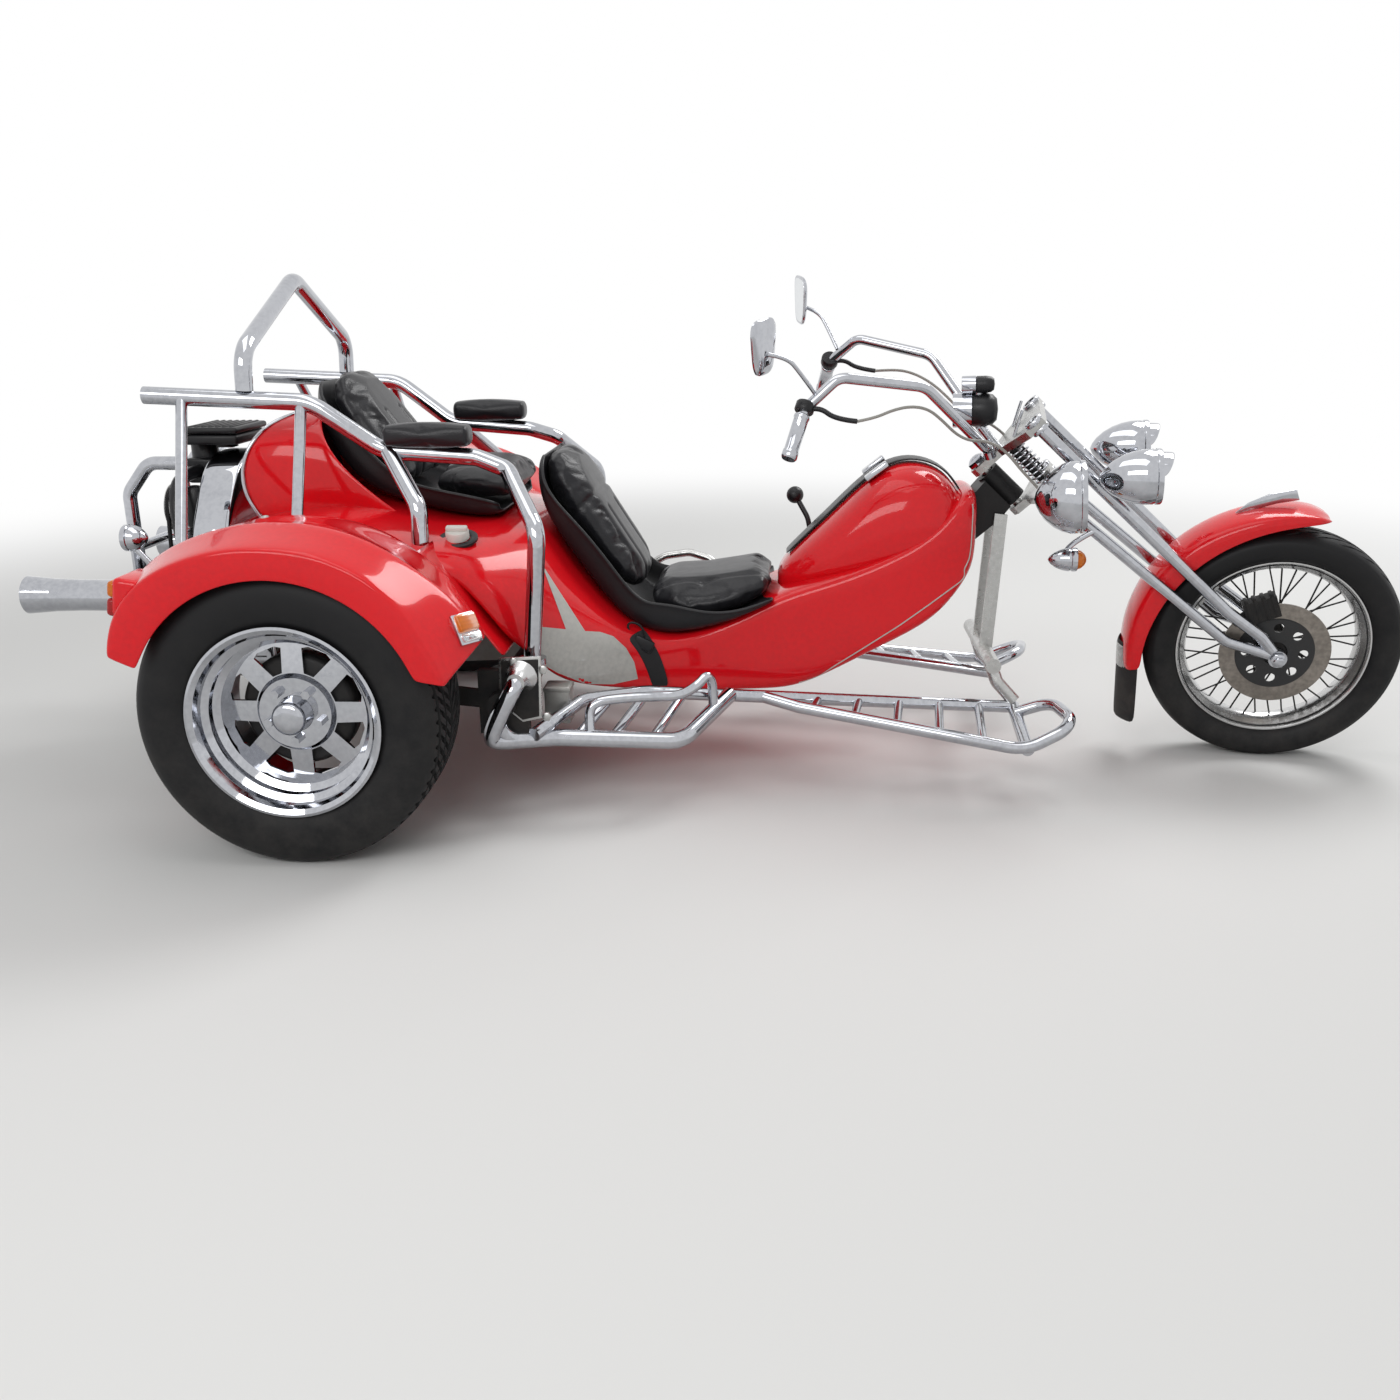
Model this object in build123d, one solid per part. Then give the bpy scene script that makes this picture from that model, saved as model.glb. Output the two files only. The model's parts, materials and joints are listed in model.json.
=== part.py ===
from build123d import *
from math import cos, radians, sin, tan
import os

# Motorized trike: two wide wheels at the back, one spoked wheel in a long raked fork.
# Millimetres. X points forward, Y to the rider's left, Z up. Everything is laid out from
# the ground under the rear axle, and moved back by ORIGIN_X when it is written out, so
# that the stored origin lies under the middle of the whole trike.

# Driving dimensions
ORIGIN_X = 895
WHEELBASE = 2282
REAR_TYRE_R = 327
REAR_TYRE_W = 245
REAR_WHEEL_Y = 725
REAR_RIM_R = 208
FRONT_TYRE_R = 310
FRONT_TYRE_W = 126
FRONT_RIM_R = 232
FRONT_RIM_W = 84
FRONT_AXLE_Z = 309.8
STEER_DEG = -11.5          # the fork stands turned to the right
RAKE_DEG = 47
HEAD_X, HEAD_Z = 1550, 730
TUBE = 40                  # rails, hoop and leg tubes
FOOT_TUBE = 32
FENDER_Y = 870             # outer face of the rear fenders
FENDER_INNER_Y = 556
SKIN = 8
BODY_SPLIT_X = 640
RUN_GAP = 0.05             # radial clearance of a wheel on its axle
CABLE = 7
CABLE_END = 12             # bent metal end that each cable comes out of
ARC_SHARE = 0.45           # of the shorter run, that a cable's arc may take


def at(x, y, z):
    return Vector(x, y, z)


def along(a, b, share):
    """The point that lies this share of the way from a to b."""
    return tuple(p + (q - p) * share for p, q in zip(a, b))


def tube(points, diameter, radii):
    """A round tube along straight runs joined by tangent arcs."""
    path = FilletPolyline(*[at(*p) for p in points], radius=radii)
    return sweep(Plane(path @ 0, z_dir=path % 0) * Circle(diameter / 2), path=path)


def cable(name, points):
    """A cable along its route, where each arc is as large as its two runs allow."""
    spots = [at(*p) for p in points]
    radii = []
    for a, b, c in zip(spots, spots[1:], spots[2:]):
        shorter = min((b - a).length, (c - b).length)
        radii.append(ARC_SHARE * shorter / tan(radians((b - a).get_angle(c - b) / 2)))
    print(name, "radii", [round(r) for r in radii])
    return tube(points, CABLE, radii)


def rod(a, b, diameter, end_diameter=None):
    """A straight round bar from a to b, tapered if an end diameter is given."""
    a, b = at(*a), at(*b)
    plane = Plane(a, z_dir=b - a)
    length = (b - a).length
    if end_diameter is None:
        return plane * extrude(Circle(diameter / 2), length)
    return plane * Pos(0, 0, length / 2) * Cone(diameter / 2, end_diameter / 2, length)


def turned(rows, centre, axis_dir):
    """A body of revolution: rows of (radius, distance along the axis)."""
    profile = Plane.XZ * make_face(Polyline(*rows, close=True))
    solid = revolve(profile, Axis.Z)
    return Plane(at(*centre), z_dir=Vector(*axis_dir)) * solid


def side_plate(points, y0, y1):
    """A side view outline in X and Z, extruded from y0 to y1."""
    face = make_face(Polyline(*[at(x, y0, z) for x, z in points], close=True))
    return extrude(face, amount=y1 - y0, dir=(0, 1, 0))


def plan_plate(points, z0, z1):
    """A plan view outline in X and Y, extruded from z0 to z1."""
    face = make_face(Polyline(*[at(x, y, z0) for x, y in points], close=True))
    return extrude(face, amount=z1 - z0, dir=(0, 0, 1))


def other_side(shape):
    return mirror(shape, about=Plane.XZ)


def both(shape):
    return shape + other_side(shape)


parts = {}
steered = []


def add(name, shape, on_fork=False):
    parts[name] = shape
    if on_fork:
        steered.append(name)


def pair(name, shape, on_fork=False):
    add(name + "_right", shape, on_fork)
    add(name + "_left", other_side(shape), on_fork)


# Rear wheels: wide tyre, deep stepped steel rim with eight windows, hub with lug nuts
def rear_tyre():
    half = REAR_TYRE_W / 2
    rows = [  # radius, distance outward from the wheel's middle plane
        (192, -98), (215, -118), (265, -half), (300, -116), (REAR_TYRE_R - 6, -100),
        (REAR_TYRE_R, -70), (REAR_TYRE_R, 70), (REAR_TYRE_R - 6, 100), (300, 116),
        (265, half), (215, 118), (192, 98)]
    return turned(rows, (0, -REAR_WHEEL_Y, REAR_TYRE_R), (0, -1, 0))


WINDOWS = 8
LUGS = 5
DISC_Y = 28                # face of the spoke disc, outward from the middle plane


def rear_rim():
    centre = (0, -REAR_WHEEL_Y, REAR_TYRE_R)
    barrel = [  # radius, distance outward
        (REAR_RIM_R, 119), (202, 121), (192, 114), (186, 104), (186, 88), (172, 80),
        (172, 62), (158, 52), (156, 20), (168, 8), (168, -70), (184, -84), (186, -104),
        (200, -121), (REAR_RIM_R, -119), (200, -112), (191.5, -99), (190, -84), (173, -68),
        (173, 9), (162, 22), (163, 51), (177, 61), (177, 79), (191, 87), (191.5, 99),
        (200, 112)]
    disc = [(40, DISC_Y - 6), (157.5, DISC_Y - 6), (157.5, DISC_Y), (86, DISC_Y + 6),
            (78, DISC_Y + 16), (40, DISC_Y + 16)]
    rim = turned(barrel, centre, (0, -1, 0)) + turned(disc, centre, (0, -1, 0))
    outward = Plane(at(*centre), z_dir=(0, -1, 0))
    window = make_face(Polyline((88, -11), (138, -33), (146, -20), (146, 20), (138, 33),
                                (88, 11), close=True))
    for n in range(WINDOWS):
        cutter = extrude(Rot(0, 0, 360 / WINDOWS * (n + 0.5)) * window, 60)
        rim -= outward * Pos(0, 0, DISC_Y - 20) * cutter
    for n in range(LUGS):
        place = Rot(0, 0, 360 / LUGS * n) * Pos(57, 0, DISC_Y + 16)
        rim += outward * place * extrude(RegularPolygon(10, 6), 20)
    return rim


def rear_hub():
    """Brake drum behind the disc, and the bright cap in the middle."""
    centre = (0, -REAR_WHEEL_Y, REAR_TYRE_R)
    rows = [  # radius, distance outward
        (0, -34), (118, -34), (124, -28), (124, 12), (112, 20), (39.5, 21), (39.5, 46),
        (37, 50), (37, 84), (30, 92), (0, 94)]
    return turned(rows, centre, (0, -1, 0))


pair("rear_tyre", rear_tyre())
pair("rear_rim", rear_rim())
pair("rear_hub", rear_hub())


# Drive line: gearbox, axle tubes, trailing arms and torsion tube
def rear_axle():
    half = rod((0, -66, REAR_TYRE_R), (0, -650, REAR_TYRE_R), 74)
    backing = rod((0, -650, REAR_TYRE_R), (0, -683, REAR_TYRE_R), 210)
    arm = side_plate([(-45, 300), (-45, 354), (60, 350), (400, 312), (400, 272), (60, 300)],
                     -560, -548)
    half += backing + arm
    half += rod((0, -548, REAR_TYRE_R), (0, -570, REAR_TYRE_R), 110)
    return both(half)


TORSION_X, TORSION_Z = 402, 290


def torsion_tube():
    bar = rod((TORSION_X, -540, TORSION_Z), (TORSION_X, 540, TORSION_Z), 84)
    cover = Pos(TORSION_X, -552, TORSION_Z) * Box(112, 24, 150)
    boss = rod((TORSION_X, -564, TORSION_Z), (TORSION_X, -600, TORSION_Z), 62)
    return bar + both(cover + boss)


def gearbox():
    case = side_plate([(-170, 240), (-170, 420), (60, 410), (250, 350), (350, 330),
                       (350, 250), (60, 236)], -66, 66)
    return case


def engine_block():
    crankcase = Pos(-350, 0, 340) * Box(330, 300, 240)
    barrels = Pos(-340, 0, 350) * Box(250, 640, 130)
    return crankcase + barrels


def fan_shroud():
    face = make_face(Polyline((-250, 462), (250, 462), (262, 560), (170, 700), (110, 770),
                              (0, 800), (-110, 770), (-170, 700), (-262, 560), close=True))
    return Plane((-330, 0, 0), x_dir=(0, 1, 0), z_dir=(1, 0, 0)) * extrude(face, -105)


def belt_drive():
    """Generator, its pulley, and the lower crank pulley."""
    upper = rod((-436, 0, 640), (-560, 0, 640), 110) + rod((-560, 0, 640), (-584, 0, 640), 126)
    lower = rod((-516, 0, 400), (-560, 0, 400), 60) + rod((-560, 0, 400), (-584, 0, 400), 170)
    web = Pos(-572, 0, 520) * Box(12, 40, 200)
    return upper + lower + web


def engine_guard():
    """Two bright hoops that stand behind the pulleys."""
    hoop = tube([(-524, -150, 330), (-620, -150, 420), (-620, -150, 700), (-560, -150, 775),
                 (-470, -150, 775)], 34, 45)
    foot = rod((-530, -150, 330), (-515.5, -150, 330), 50)
    return both(hoop + foot) + rod((-620, -150, 560), (-620, 150, 560), 25)


def air_filter():
    case = Pos(-420, 0, 836) * Box(150, 200, 46)
    neck = rod((-420, 0, 801), (-420, 0, 814), 60)
    return case + neck


add("torsion_tube", torsion_tube())
add("rear_axle", rear_axle() - parts["torsion_tube"])
add("gearbox", gearbox())
add("engine_block", engine_block())
add("fan_shroud", fan_shroud())
add("belt_drive", belt_drive())
add("engine_guard", engine_guard() - parts["engine_block"])
add("air_filter", air_filter())


# Exhaust: header, silencer and flared tip on each side
def exhaust():
    z = 482
    rows = [  # radius, distance forward from the tip
        (46, 0), (40, 70), (38, 130), (38, 430), (22, 470), (22, 480), (0, 480), (0, 300),
        (33, 300), (35, 70), (43, 0)]
    silencer = turned(rows, (-802, -350, z), (1, 0, 0))
    header = tube([(-330, -350, z), (-245, -350, z), (-240, -292, 458), (-240, -290, 415.5)],
                  40, [24, 20])
    return silencer + header


add("exhausts", both(exhaust()) - parts["engine_block"])


# Body: front keel under the tank, wide rear deck, pod behind the passenger
def body_plan(x0, x1, y_max):
    """Half widths of the body along its length, as one plan outline."""
    rows = [  # x, half width
        (-330, 540), (300, 540), (395, 520), (470, 425), (560, 330), (660, 262), (780, 215),
        (920, 186), (1100, 174), (1508, 160)]
    near = [(x, -y) for x, y in rows]
    far = [(x, y) for x, y in reversed(rows)]
    window = Pos((x0 + x1) / 2, 0, 500) * Box(x1 - x0, 2 * y_max, 1200)
    return plan_plate(near + far, 100, 900) & window


FRONT_SIDE = [  # x, z of the keel's outline, from the collar at the head backward
    (1496, 704), (1508, 640), (1508, 543), (1447, 417), (1368, 368), (1278, 325),
    (1180, 268), (1079, 214), (900, 205), (760, 208), (BODY_SPLIT_X, 226), (BODY_SPLIT_X, 392),
    (690, 366), (745, 352), (803, 350), (915, 392), (1021, 455), (1076, 470), (1200, 500),
    (1430, 600), (1470, 704)]
REAR_SIDE = [  # x, z of the wide rear body
    (-330, 600), (-280, 655), (-160, 684), (-30, 704), (60, 700), (180, 655), (420, 652),
    (470, 610), (509, 536), (580, 448), (BODY_SPLIT_X, 396), (BODY_SPLIT_X, 228), (560, 256),
    (491, 300), (438, 366), (395, 470), (330, 560), (-290, 570)]


def front_body():
    keel = side_plate(FRONT_SIDE, -300, 300)
    return keel & body_plan(BODY_SPLIT_X, 1520, 300)


def rear_body():
    block = side_plate(REAR_SIDE, -560, 560) & body_plan(-340, BODY_SPLIT_X, 560)
    bay = Pos(20, 0, 520) * Box(560, 1000, 240)
    shoulder = extrude(make_face(Polyline(at(150, -280, 668), at(150, -545, 588),
                                          at(150, -545, 740), at(150, -280, 740), close=True)),
                       amount=520, dir=(1, 0, 0))
    return block - bay - both(shoulder)


POD_ARCH = [  # half width, z of the pod seen from behind
    (266, 640), (271, 745), (264, 800), (245, 848), (209, 884), (150, 906), (75, 920)]


def seat_pod():
    """Rounded hump behind the passenger's back, with the engine's fan behind it."""
    side = [(-147, 905), (-207, 882), (-254, 819), (-271, 757), (-260, 712), (140, 712),
            (70, 730), (14, 774), (-50, 838), (-108, 925), (-125, 928)]
    right = [(-y, z) for y, z in POD_ARCH]
    left = [(y, z) for y, z in reversed(POD_ARCH)]
    arch = Plane((-300, 0, 0), x_dir=(0, 1, 0), z_dir=(1, 0, 0)) * extrude(
        make_face(Polyline(*right, (0, 926), *left, close=True)), 500)
    return side_plate(side, -280, 280) & arch


def fuel_tank():
    rows = [  # x, width, bottom z, top z
        (1034, 70, 442, 482), (1090, 190, 448, 574), (1180, 276, 458, 668),
        (1280, 322, 474, 748), (1370, 330, 500, 768), (1440, 286, 548, 742),
        (1484, 170, 606, 690)]
    sections = []
    for x, w, z0, z1 in rows:
        shape = RectangleRounded(w, z1 - z0, 0.42 * min(w, z1 - z0))
        plane = Plane((x, 0, (z0 + z1) / 2), x_dir=(0, 1, 0), z_dir=(1, 0, 0))
        sections.append(plane * shape)
    return loft(sections)


FENDER_ROWS = [  # angle from straight ahead, crease radius, crown radius
    (157, 372, 384), (144, 398, 428), (130, 397, 428), (112, 382, 404), (90, 370, 397),
    (70, 376, 399), (50, 377, 394), (32, 364, 393), (16, 370, 402)]
LIP_R = 310
CROWN_Y = 610


def fender():
    sections = []
    for angle, crease, crown in FENDER_ROWS:
        c, s = cos(radians(angle)), sin(radians(angle))
        middle = (crease + crown) / 2 + 6
        inner = [(LIP_R, FENDER_Y - SKIN), (crease - SKIN, FENDER_Y - SKIN), (middle - SKIN, 740),
                 (crown - SKIN, CROWN_Y), (crown - SKIN, FENDER_INNER_Y)]
        outer = [(crown, FENDER_INNER_Y), (crown, CROWN_Y), (middle, 740), (crease, FENDER_Y),
                 (LIP_R, FENDER_Y)]
        ring = [at(r * c, -y, REAR_TYRE_R + r * s) for r, y in inner + outer]
        sections.append(make_face(Polyline(*ring, close=True)))
    return loft(sections, ruled=True)


tank = fuel_tank()
add("fuel_tank", tank)
pair("rear_fender", fender())


def filler_cap():
    tilt = Pos(280, -400, 634) * Rot(16.8, 0, 0)
    base = tilt * Cylinder(46, 7)
    knob = tilt * Pos(0, 0, 12) * Cylinder(27, 20) + tilt * Pos(0, 0, 26) * Box(50, 16, 12)
    return base + knob


# Seats: black buckets with separate pads
DRIVER_LOW = [(424, 760), (429, 700), (452, 624), (512, 538), (582, 450), (646, 398),
              (700, 369), (803, 353), (915, 395), (1021, 458)]
DRIVER_HIGH = [(1012, 470), (905, 452), (800, 440), (700, 452), (640, 520), (560, 640),
               (500, 730), (470, 790)]
SHELL = 12
SEAT_HALF = 222


def seat_shell(low, high, half, inner):
    bucket = side_plate(low + high, -half, half)
    return bucket - side_plate(inner, -half + SHELL, half - SHELL)


def driver_shell():
    inner = [(x + 9, z + 10) for x, z in DRIVER_LOW[1:]] + [(1100, 600), (700, 900), (430, 900)]
    return seat_shell(DRIVER_LOW, DRIVER_HIGH, SEAT_HALF, inner)


def driver_back():
    side = [(447, 752), (462, 792), (482, 806), (508, 796), (560, 716), (640, 584), (700, 496),
            (686, 450), (640, 430), (560, 500), (490, 600), (456, 680)]
    return side_plate(side, -190, 190)


def driver_cushion():
    side = [(700, 440), (712, 486), (800, 504), (1000, 508), (1014, 490), (1004, 466),
            (915, 410), (803, 368), (712, 384), (664, 412)]
    return side_plate(side, -190, 190)


def passenger_shell():
    low = [(-110, 960), (-106, 912), (-36, 830), (20, 766), (76, 724), (160, 704), (180, 660),
           (330, 660)]
    high = [(330, 700), (190, 708), (150, 716), (90, 736), (40, 782), (-20, 850), (-84, 960)]
    return side_plate(low + high, -235, 235)


def passenger_back():
    side = [(-82, 962), (-76, 994), (-50, 1010), (-12, 1000), (30, 940), (110, 800), (152, 722),
            (148, 717), (92, 738), (42, 784), (-18, 852)]
    return side_plate(side, -185, 185)


def passenger_cushion():
    side = [(156, 717), (162, 748), (200, 762), (340, 758), (376, 735), (380, 712), (370, 701),
            (331, 701), (190, 709)]
    return side_plate(side, -220, 220)


seat_room = side_plate(DRIVER_LOW + [(1021, 900), (424, 900)], -SEAT_HALF - 1, SEAT_HALF + 1)
deck = rear_body() - seat_room
add("front_body", front_body() - tank - seat_room)
add("rear_body", deck)
add("seat_pod", seat_pod() - passenger_shell())
add("filler_cap", filler_cap() - deck)
add("driver_seat_shell", driver_shell())
add("driver_back_pad", driver_back())
add("driver_cushion", driver_cushion())
add("passenger_seat_shell", passenger_shell())
add("passenger_back_pad", passenger_back())
add("passenger_cushion", passenger_cushion())


# Bright tube work: side rails with arm rests, roll hoop, foot racks, head struts
def side_rail():
    rail = tube([(-440, -362, 957), (-55, -355, 939), (98, -334, 828), (318, -326, 811),
                 (392, -345, 786), (486, -505, 672), (462, -505, 380)], TUBE,
                [110, 90, 60, 45, 60])
    rear_post = rod((-352, -362, 955), (-296, -575, 640), 26)
    front_post = rod((-75, -356, 940), (-57, -500, 690), 26)
    leg = tube([(112, -336, 826), (205, -440, 712), (205, -452, 600)], TUBE, 50)
    rail += rear_post + front_post + leg
    base = rod((462, -505, 380), (462, -505, 366), 64)
    return rail + base


def arm_rest():
    pad = Pos(207, -330, 862) * Box(205, 74, 58)
    pad = fillet(pad.edges().filter_by(Axis.X), 18)
    return pad


def roll_hoop():
    return tube([(-204, -358, 966), (-200, -358, 1052), (-198, 0, 1212), (-200, 358, 1052),
                 (-204, 358, 966)], TUBE, [70, 70, 70])


def foot_rack():
    """Two bars running forward to the struts' foot, with rungs between them to stand on."""
    inner_route = [(470, -570, 215), (560, -420, 252), (700, -330, 246), (1623, -150, 160)]
    front_route = [(985, -274.5, 219.4), (1075, -312, 205), (1610, -397, 132),
                   (1735, -372, 190), (1700, -230, 200), (1620, -210, 166)]
    inner = tube(inner_route, FOOT_TUBE, [60, 90])
    outer = tube([(400, -585, 290), (372, -588, 205), (520, -520, 192), (800, -478, 172),
                  (905, -292, 229)], TUBE, [60, 70, 70])
    front = tube(front_route, FOOT_TUBE - 2, [40, 120, 60, 60])
    cross = rod((1623, -150, 160), (1617, -396, 132), FOOT_TUBE)
    rack = inner + outer + front + cross
    for x, y_in, y_out in ((560, -420, -515), (640, -362, -500), (730, -322, -490)):
        z = 250 - (x - 560) * 0.09
        rack += rod((x + 60, y_in, z), (x, y_out, z - 58), 24)
    for n in range(5):
        start = along(inner_route[2], inner_route[3], 0.46 + 0.11 * n)
        end = along(front_route[1], front_route[2], 0.06 + 0.19 * n)
        rack += rod(start, end, 22)
    return rack


def head_struts():
    plate = side_plate([(1560, 640), (1592, 636), (1574, 288), (1542, 288)], -64, -52)
    cross = rod((1557, -205, 282), (1557, 205, 282), 38)
    down = tube([(1557, -120, 282), (1578, -140, 225), (1623, -150, 176)], 34, 30)
    return both(plate + down) + cross


def gear_lever():
    """Knobbed lever on the left flank, beside the tank."""
    boot = rod((1122, 152, 470), (1108, 158, 524), 56, 26)
    stalk = tube([(1122, 152, 470), (1098, 162, 590), (1068, 182, 640)], 14, 60)
    knob = Pos(1063, 185, 648) * Sphere(23)
    return boot + stalk + knob


def hand_lever():
    """Bent pull lever on the left of the driver's seat."""
    return tube([(866, 185, 312), (866, 238, 336), (858, 242, 410), (830, 262, 455),
                 (770, 272, 472), (700, 272, 462), (672, 268, 446)], 22, [16, 25, 40, 50, 60])


rack = foot_rack() - parts["torsion_tube"]
pair("side_rail", side_rail() - deck - fender())
add("arm_rests", both(arm_rest()))
add("roll_hoop", roll_hoop() - both(side_rail()))
pair("foot_rack", rack)
add("head_struts", head_struts() - both(rack))
add("gear_lever", gear_lever() - parts["front_body"])
add("hand_lever", hand_lever() - parts["front_body"])

# Fork frame: s runs down along the steering axis, n runs forward and up, square to it
DOWN = Vector(sin(radians(RAKE_DEG)), 0, -cos(radians(RAKE_DEG)))
AHEAD = Vector(cos(radians(RAKE_DEG)), 0, sin(radians(RAKE_DEG)))
HEAD = Vector(HEAD_X, 0, HEAD_Z)
AXLE = Vector(WHEELBASE, 0, FRONT_AXLE_Z)


def fork(s, n, y):
    p = HEAD + DOWN * s + AHEAD * n
    return (p.X, y, p.Z)


def fork_plane(s):
    return Plane(HEAD + DOWN * s, x_dir=AHEAD, z_dir=DOWN)


def frame_head():
    """Steering head tube with its gussets down to the body."""
    head = fork_plane(-8) * extrude(Circle(30), 100)
    corners = [fork(-4, -20, 0), fork(88, -20, 0), fork(92, -62, 0)]
    gusset = side_plate([(x, z) for x, y, z in corners] + [(1510, 566), (1510, 690)], -50, 50)
    head += gusset
    return head - fork_plane(-40) * extrude(Circle(18), 200)


add("frame_head", frame_head())


def yoke_plate(neck, rear, front):
    """A plate as wide as the legs in front and narrow at the stem."""
    right = [(-26, -12), (-12, -28), (neck, -34), (rear, -112), (front, -112)]
    left = [(n, -y) for n, y in reversed(right)]
    return extrude(make_face(Polyline(*right, *left, close=True)), 20)


def yokes():
    top = fork_plane(-38) * yoke_plate(60, 150, 200)
    low = fork_plane(102) * yoke_plate(24, 62, 108)
    stem = fork_plane(-40) * extrude(Circle(13), 165)
    return top + low + stem


LEG_Y = 97


def fork_legs():
    front = tube([fork(-18, 178, -LEG_Y), fork(650, 186, -LEG_Y), fork(752, 200, -LEG_Y),
                  (AXLE.X, -LEG_Y, AXLE.Z)], 30, [60, 30])
    rear = tube([fork(122, 86, -LEG_Y), fork(706, 133, -LEG_Y), (AXLE.X, -LEG_Y, AXLE.Z)],
                28, [60])
    boss = rod((AXLE.X, -LEG_Y - 15, AXLE.Z), (AXLE.X, -LEG_Y + 15, AXLE.Z), 44)
    axle = rod((AXLE.X, -LEG_Y - 32, AXLE.Z), (AXLE.X, LEG_Y + 32, AXLE.Z), 20)
    return both(front + rear + boss) + axle


def fork_springs():
    """Short coil springs at the top of the fork, one each side."""
    rows = [(0, 0)]
    for n in range(7):
        start = 17 * n
        rows += [(13, start), (19, start + 4), (19, start + 10), (13, start + 14)]
    rows.append((0, 116))
    spring = turned(rows, fork(-18, 90, -44), DOWN)
    return both(spring)


def handlebar():
    half = tube([(1544, 0, 806), (1540, -66, 808), (1385, -186, 986), (1188, -242, 1017),
                 (1112, -276, 948), (1086, -352, 852)], 25.4, [30, 60, 45, 40])
    riser = rod(fork(-38, 40, -45), (1541, -50, 808), 30)
    return both(half + riser)


CABLE_START = (1236, -280, 925)


def grips():
    """Grip, the housing inboard of it, and the bent metal end that the cable leaves by."""
    a, b = Vector(1112, -276, 948), Vector(1086, -352, 852)
    step = (b - a).normalized()
    grip = Plane(a + step * 18, z_dir=step) * (Pos(0, 0, 52) * Cylinder(19, 112))
    bore = Plane(a + step * 14, z_dir=step) * extrude(Circle(12.7), 140)
    housing = Plane(a + step * 6, z_dir=step) * (Pos(0, 0, -10) * Cylinder(23, 24))
    end = tube([(1129, -274.5, 950), (1150, -279, 955), (1186, -284, 930), CABLE_START],
               CABLE_END, [15, 25])
    return (grip + housing) - bore + end


def throttle_route():
    """From the right grip over a hump, under the bar, and down beside the spring."""
    return [CABLE_START, (1276, -269, 931), (1316, -249, 946), (1357, -226, 950),
            (1396, -202, 938), (1430, -179, 905), (1462, -154, 868), (1496, -128, 846),
            (1533, -104, 841), (1568, -86, 822), fork(-12, 80, -78), fork(30, 75, -76),
            fork(68, 74, -78), fork(104, 72, -77)]


def clutch_route():
    """From the left grip, closer under the bar, and down beside the other spring."""
    x, y, z = CABLE_START
    return [(x, -y, z), (1276, 262, 932), (1318, 238, 935), (1358, 212, 927), (1396, 190, 910),
            (1432, 170, 884), (1464, 148, 858), (1497, 126, 841), (1533, 104, 838),
            (1568, 86, 822), fork(-12, 80, 78), fork(30, 75, 76), fork(68, 74, 78),
            fork(104, 72, 77)]


def mirrors():
    plate = Plane((1022, -330, 1101), x_dir=(-sin(radians(22)), -cos(radians(22)), 0),
                  z_dir=(cos(radians(22)), -sin(radians(22)), 0))
    glass = plate * extrude(RectangleRounded(112, 124, 22), 14, both=False)
    stem = tube([(1134, -262, 985), (1104, -290, 1036), (1076, -312, 1076), (1030, -330, 1085)],
                10, [20, 18])
    return glass + stem


def gauges():
    big = rod((1450, 0, 888), (1560, 0, 894), 84)
    small = rod((1468, 0, 951), (1548, 0, 954), 44)
    post = rod((1520, 0, 850), fork(-38, 60, 0), 26)
    web = rod((1510, 0, 925), (1510, 0, 940), 20)
    return big + small + post + web


def lamp(centre, diameter, length, tilt):
    """A bullet lamp: lens rim in front, rounded cup behind."""
    r = diameter / 2
    rows = [(0, 0), (r - 6, 0), (r, 8), (r, 26), (0.94 * r, 0.34 * length), (0.8 * r, 0.6 * length),
            (0.52 * r, 0.86 * length), (0.2 * r, length), (0, length)]
    back = (-cos(radians(tilt)), 0, -sin(radians(tilt)))
    x, y, z = centre
    front = (x - back[0] * length / 2, y, z - back[2] * length / 2)
    return turned(rows, front, back)


def headlamp():
    body = lamp((1712, -200, 733), 172, 118, 5)
    bracket = rod((1716, -160, 704), (1716, -84, 690), 22)
    return body + bracket


def spot_lamps():
    body = lamp((1872, -138, 770), 132, 142, 4)
    stay = rod((1866, -105, 722), fork(236, 192, -LEG_Y), 18)
    return both(body + stay)


def turn_lamps():
    body = lamp((1746, -172, 571), 58, 92, 2)
    stay = rod((1742, -160, 578), fork(262, 98, -LEG_Y - 8), 14)
    return both(body + stay)


FENDER_R = 362


def front_fender():
    half = 76
    rows = [  # radius, distance across
        (306 + 10, half), (FENDER_R - 26, half), (FENDER_R - 6, half - 30), (FENDER_R, 0),
        (FENDER_R - 6, 30 - half), (FENDER_R - 26, -half), (316, -half), (316, 5 - half),
        (FENDER_R - 28, 5 - half), (FENDER_R - 11, 33 - half), (FENDER_R - 5, 0),
        (FENDER_R - 11, half - 33), (FENDER_R - 28, half - 5), (316, half - 5)]
    profile = make_face(Polyline(*[at(r, y, 0) for r, y in rows], close=True))
    arc = revolve(profile, Axis.Y, 118)
    return Pos(AXLE.X, 0, AXLE.Z) * Rot(0, -77, 0) * Rot(0, -118, 0) * arc


def mud_flap():
    side = [(1908, 300), (1915, 300), (1930, 78), (1923, 78)]
    return side_plate(side, -70, 70)


legs = fork_legs()
clamps = yokes() - legs
bar = handlebar() - clamps
lever_sets = both(grips()) - bar
add("fork_legs", legs, True)
add("yokes", clamps, True)
add("fork_springs", fork_springs(), True)
add("handlebar", bar, True)
add("grips", lever_sets, True)
for name, route in (("throttle_cable", throttle_route()), ("clutch_cable", clutch_route())):
    add(name, cable(name, route) - clamps - lever_sets, True)
add("mirrors", both(mirrors()) - bar - lever_sets, True)
add("gauges", gauges() - bar - clamps, True)
add("headlamp", headlamp() - legs, True)
add("spot_lamps", spot_lamps() - legs, True)
add("turn_lamps", turn_lamps() - legs, True)
fender_front = front_fender()
add("front_fender", fender_front, True)
add("mud_flap", mud_flap() - fender_front, True)


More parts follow.
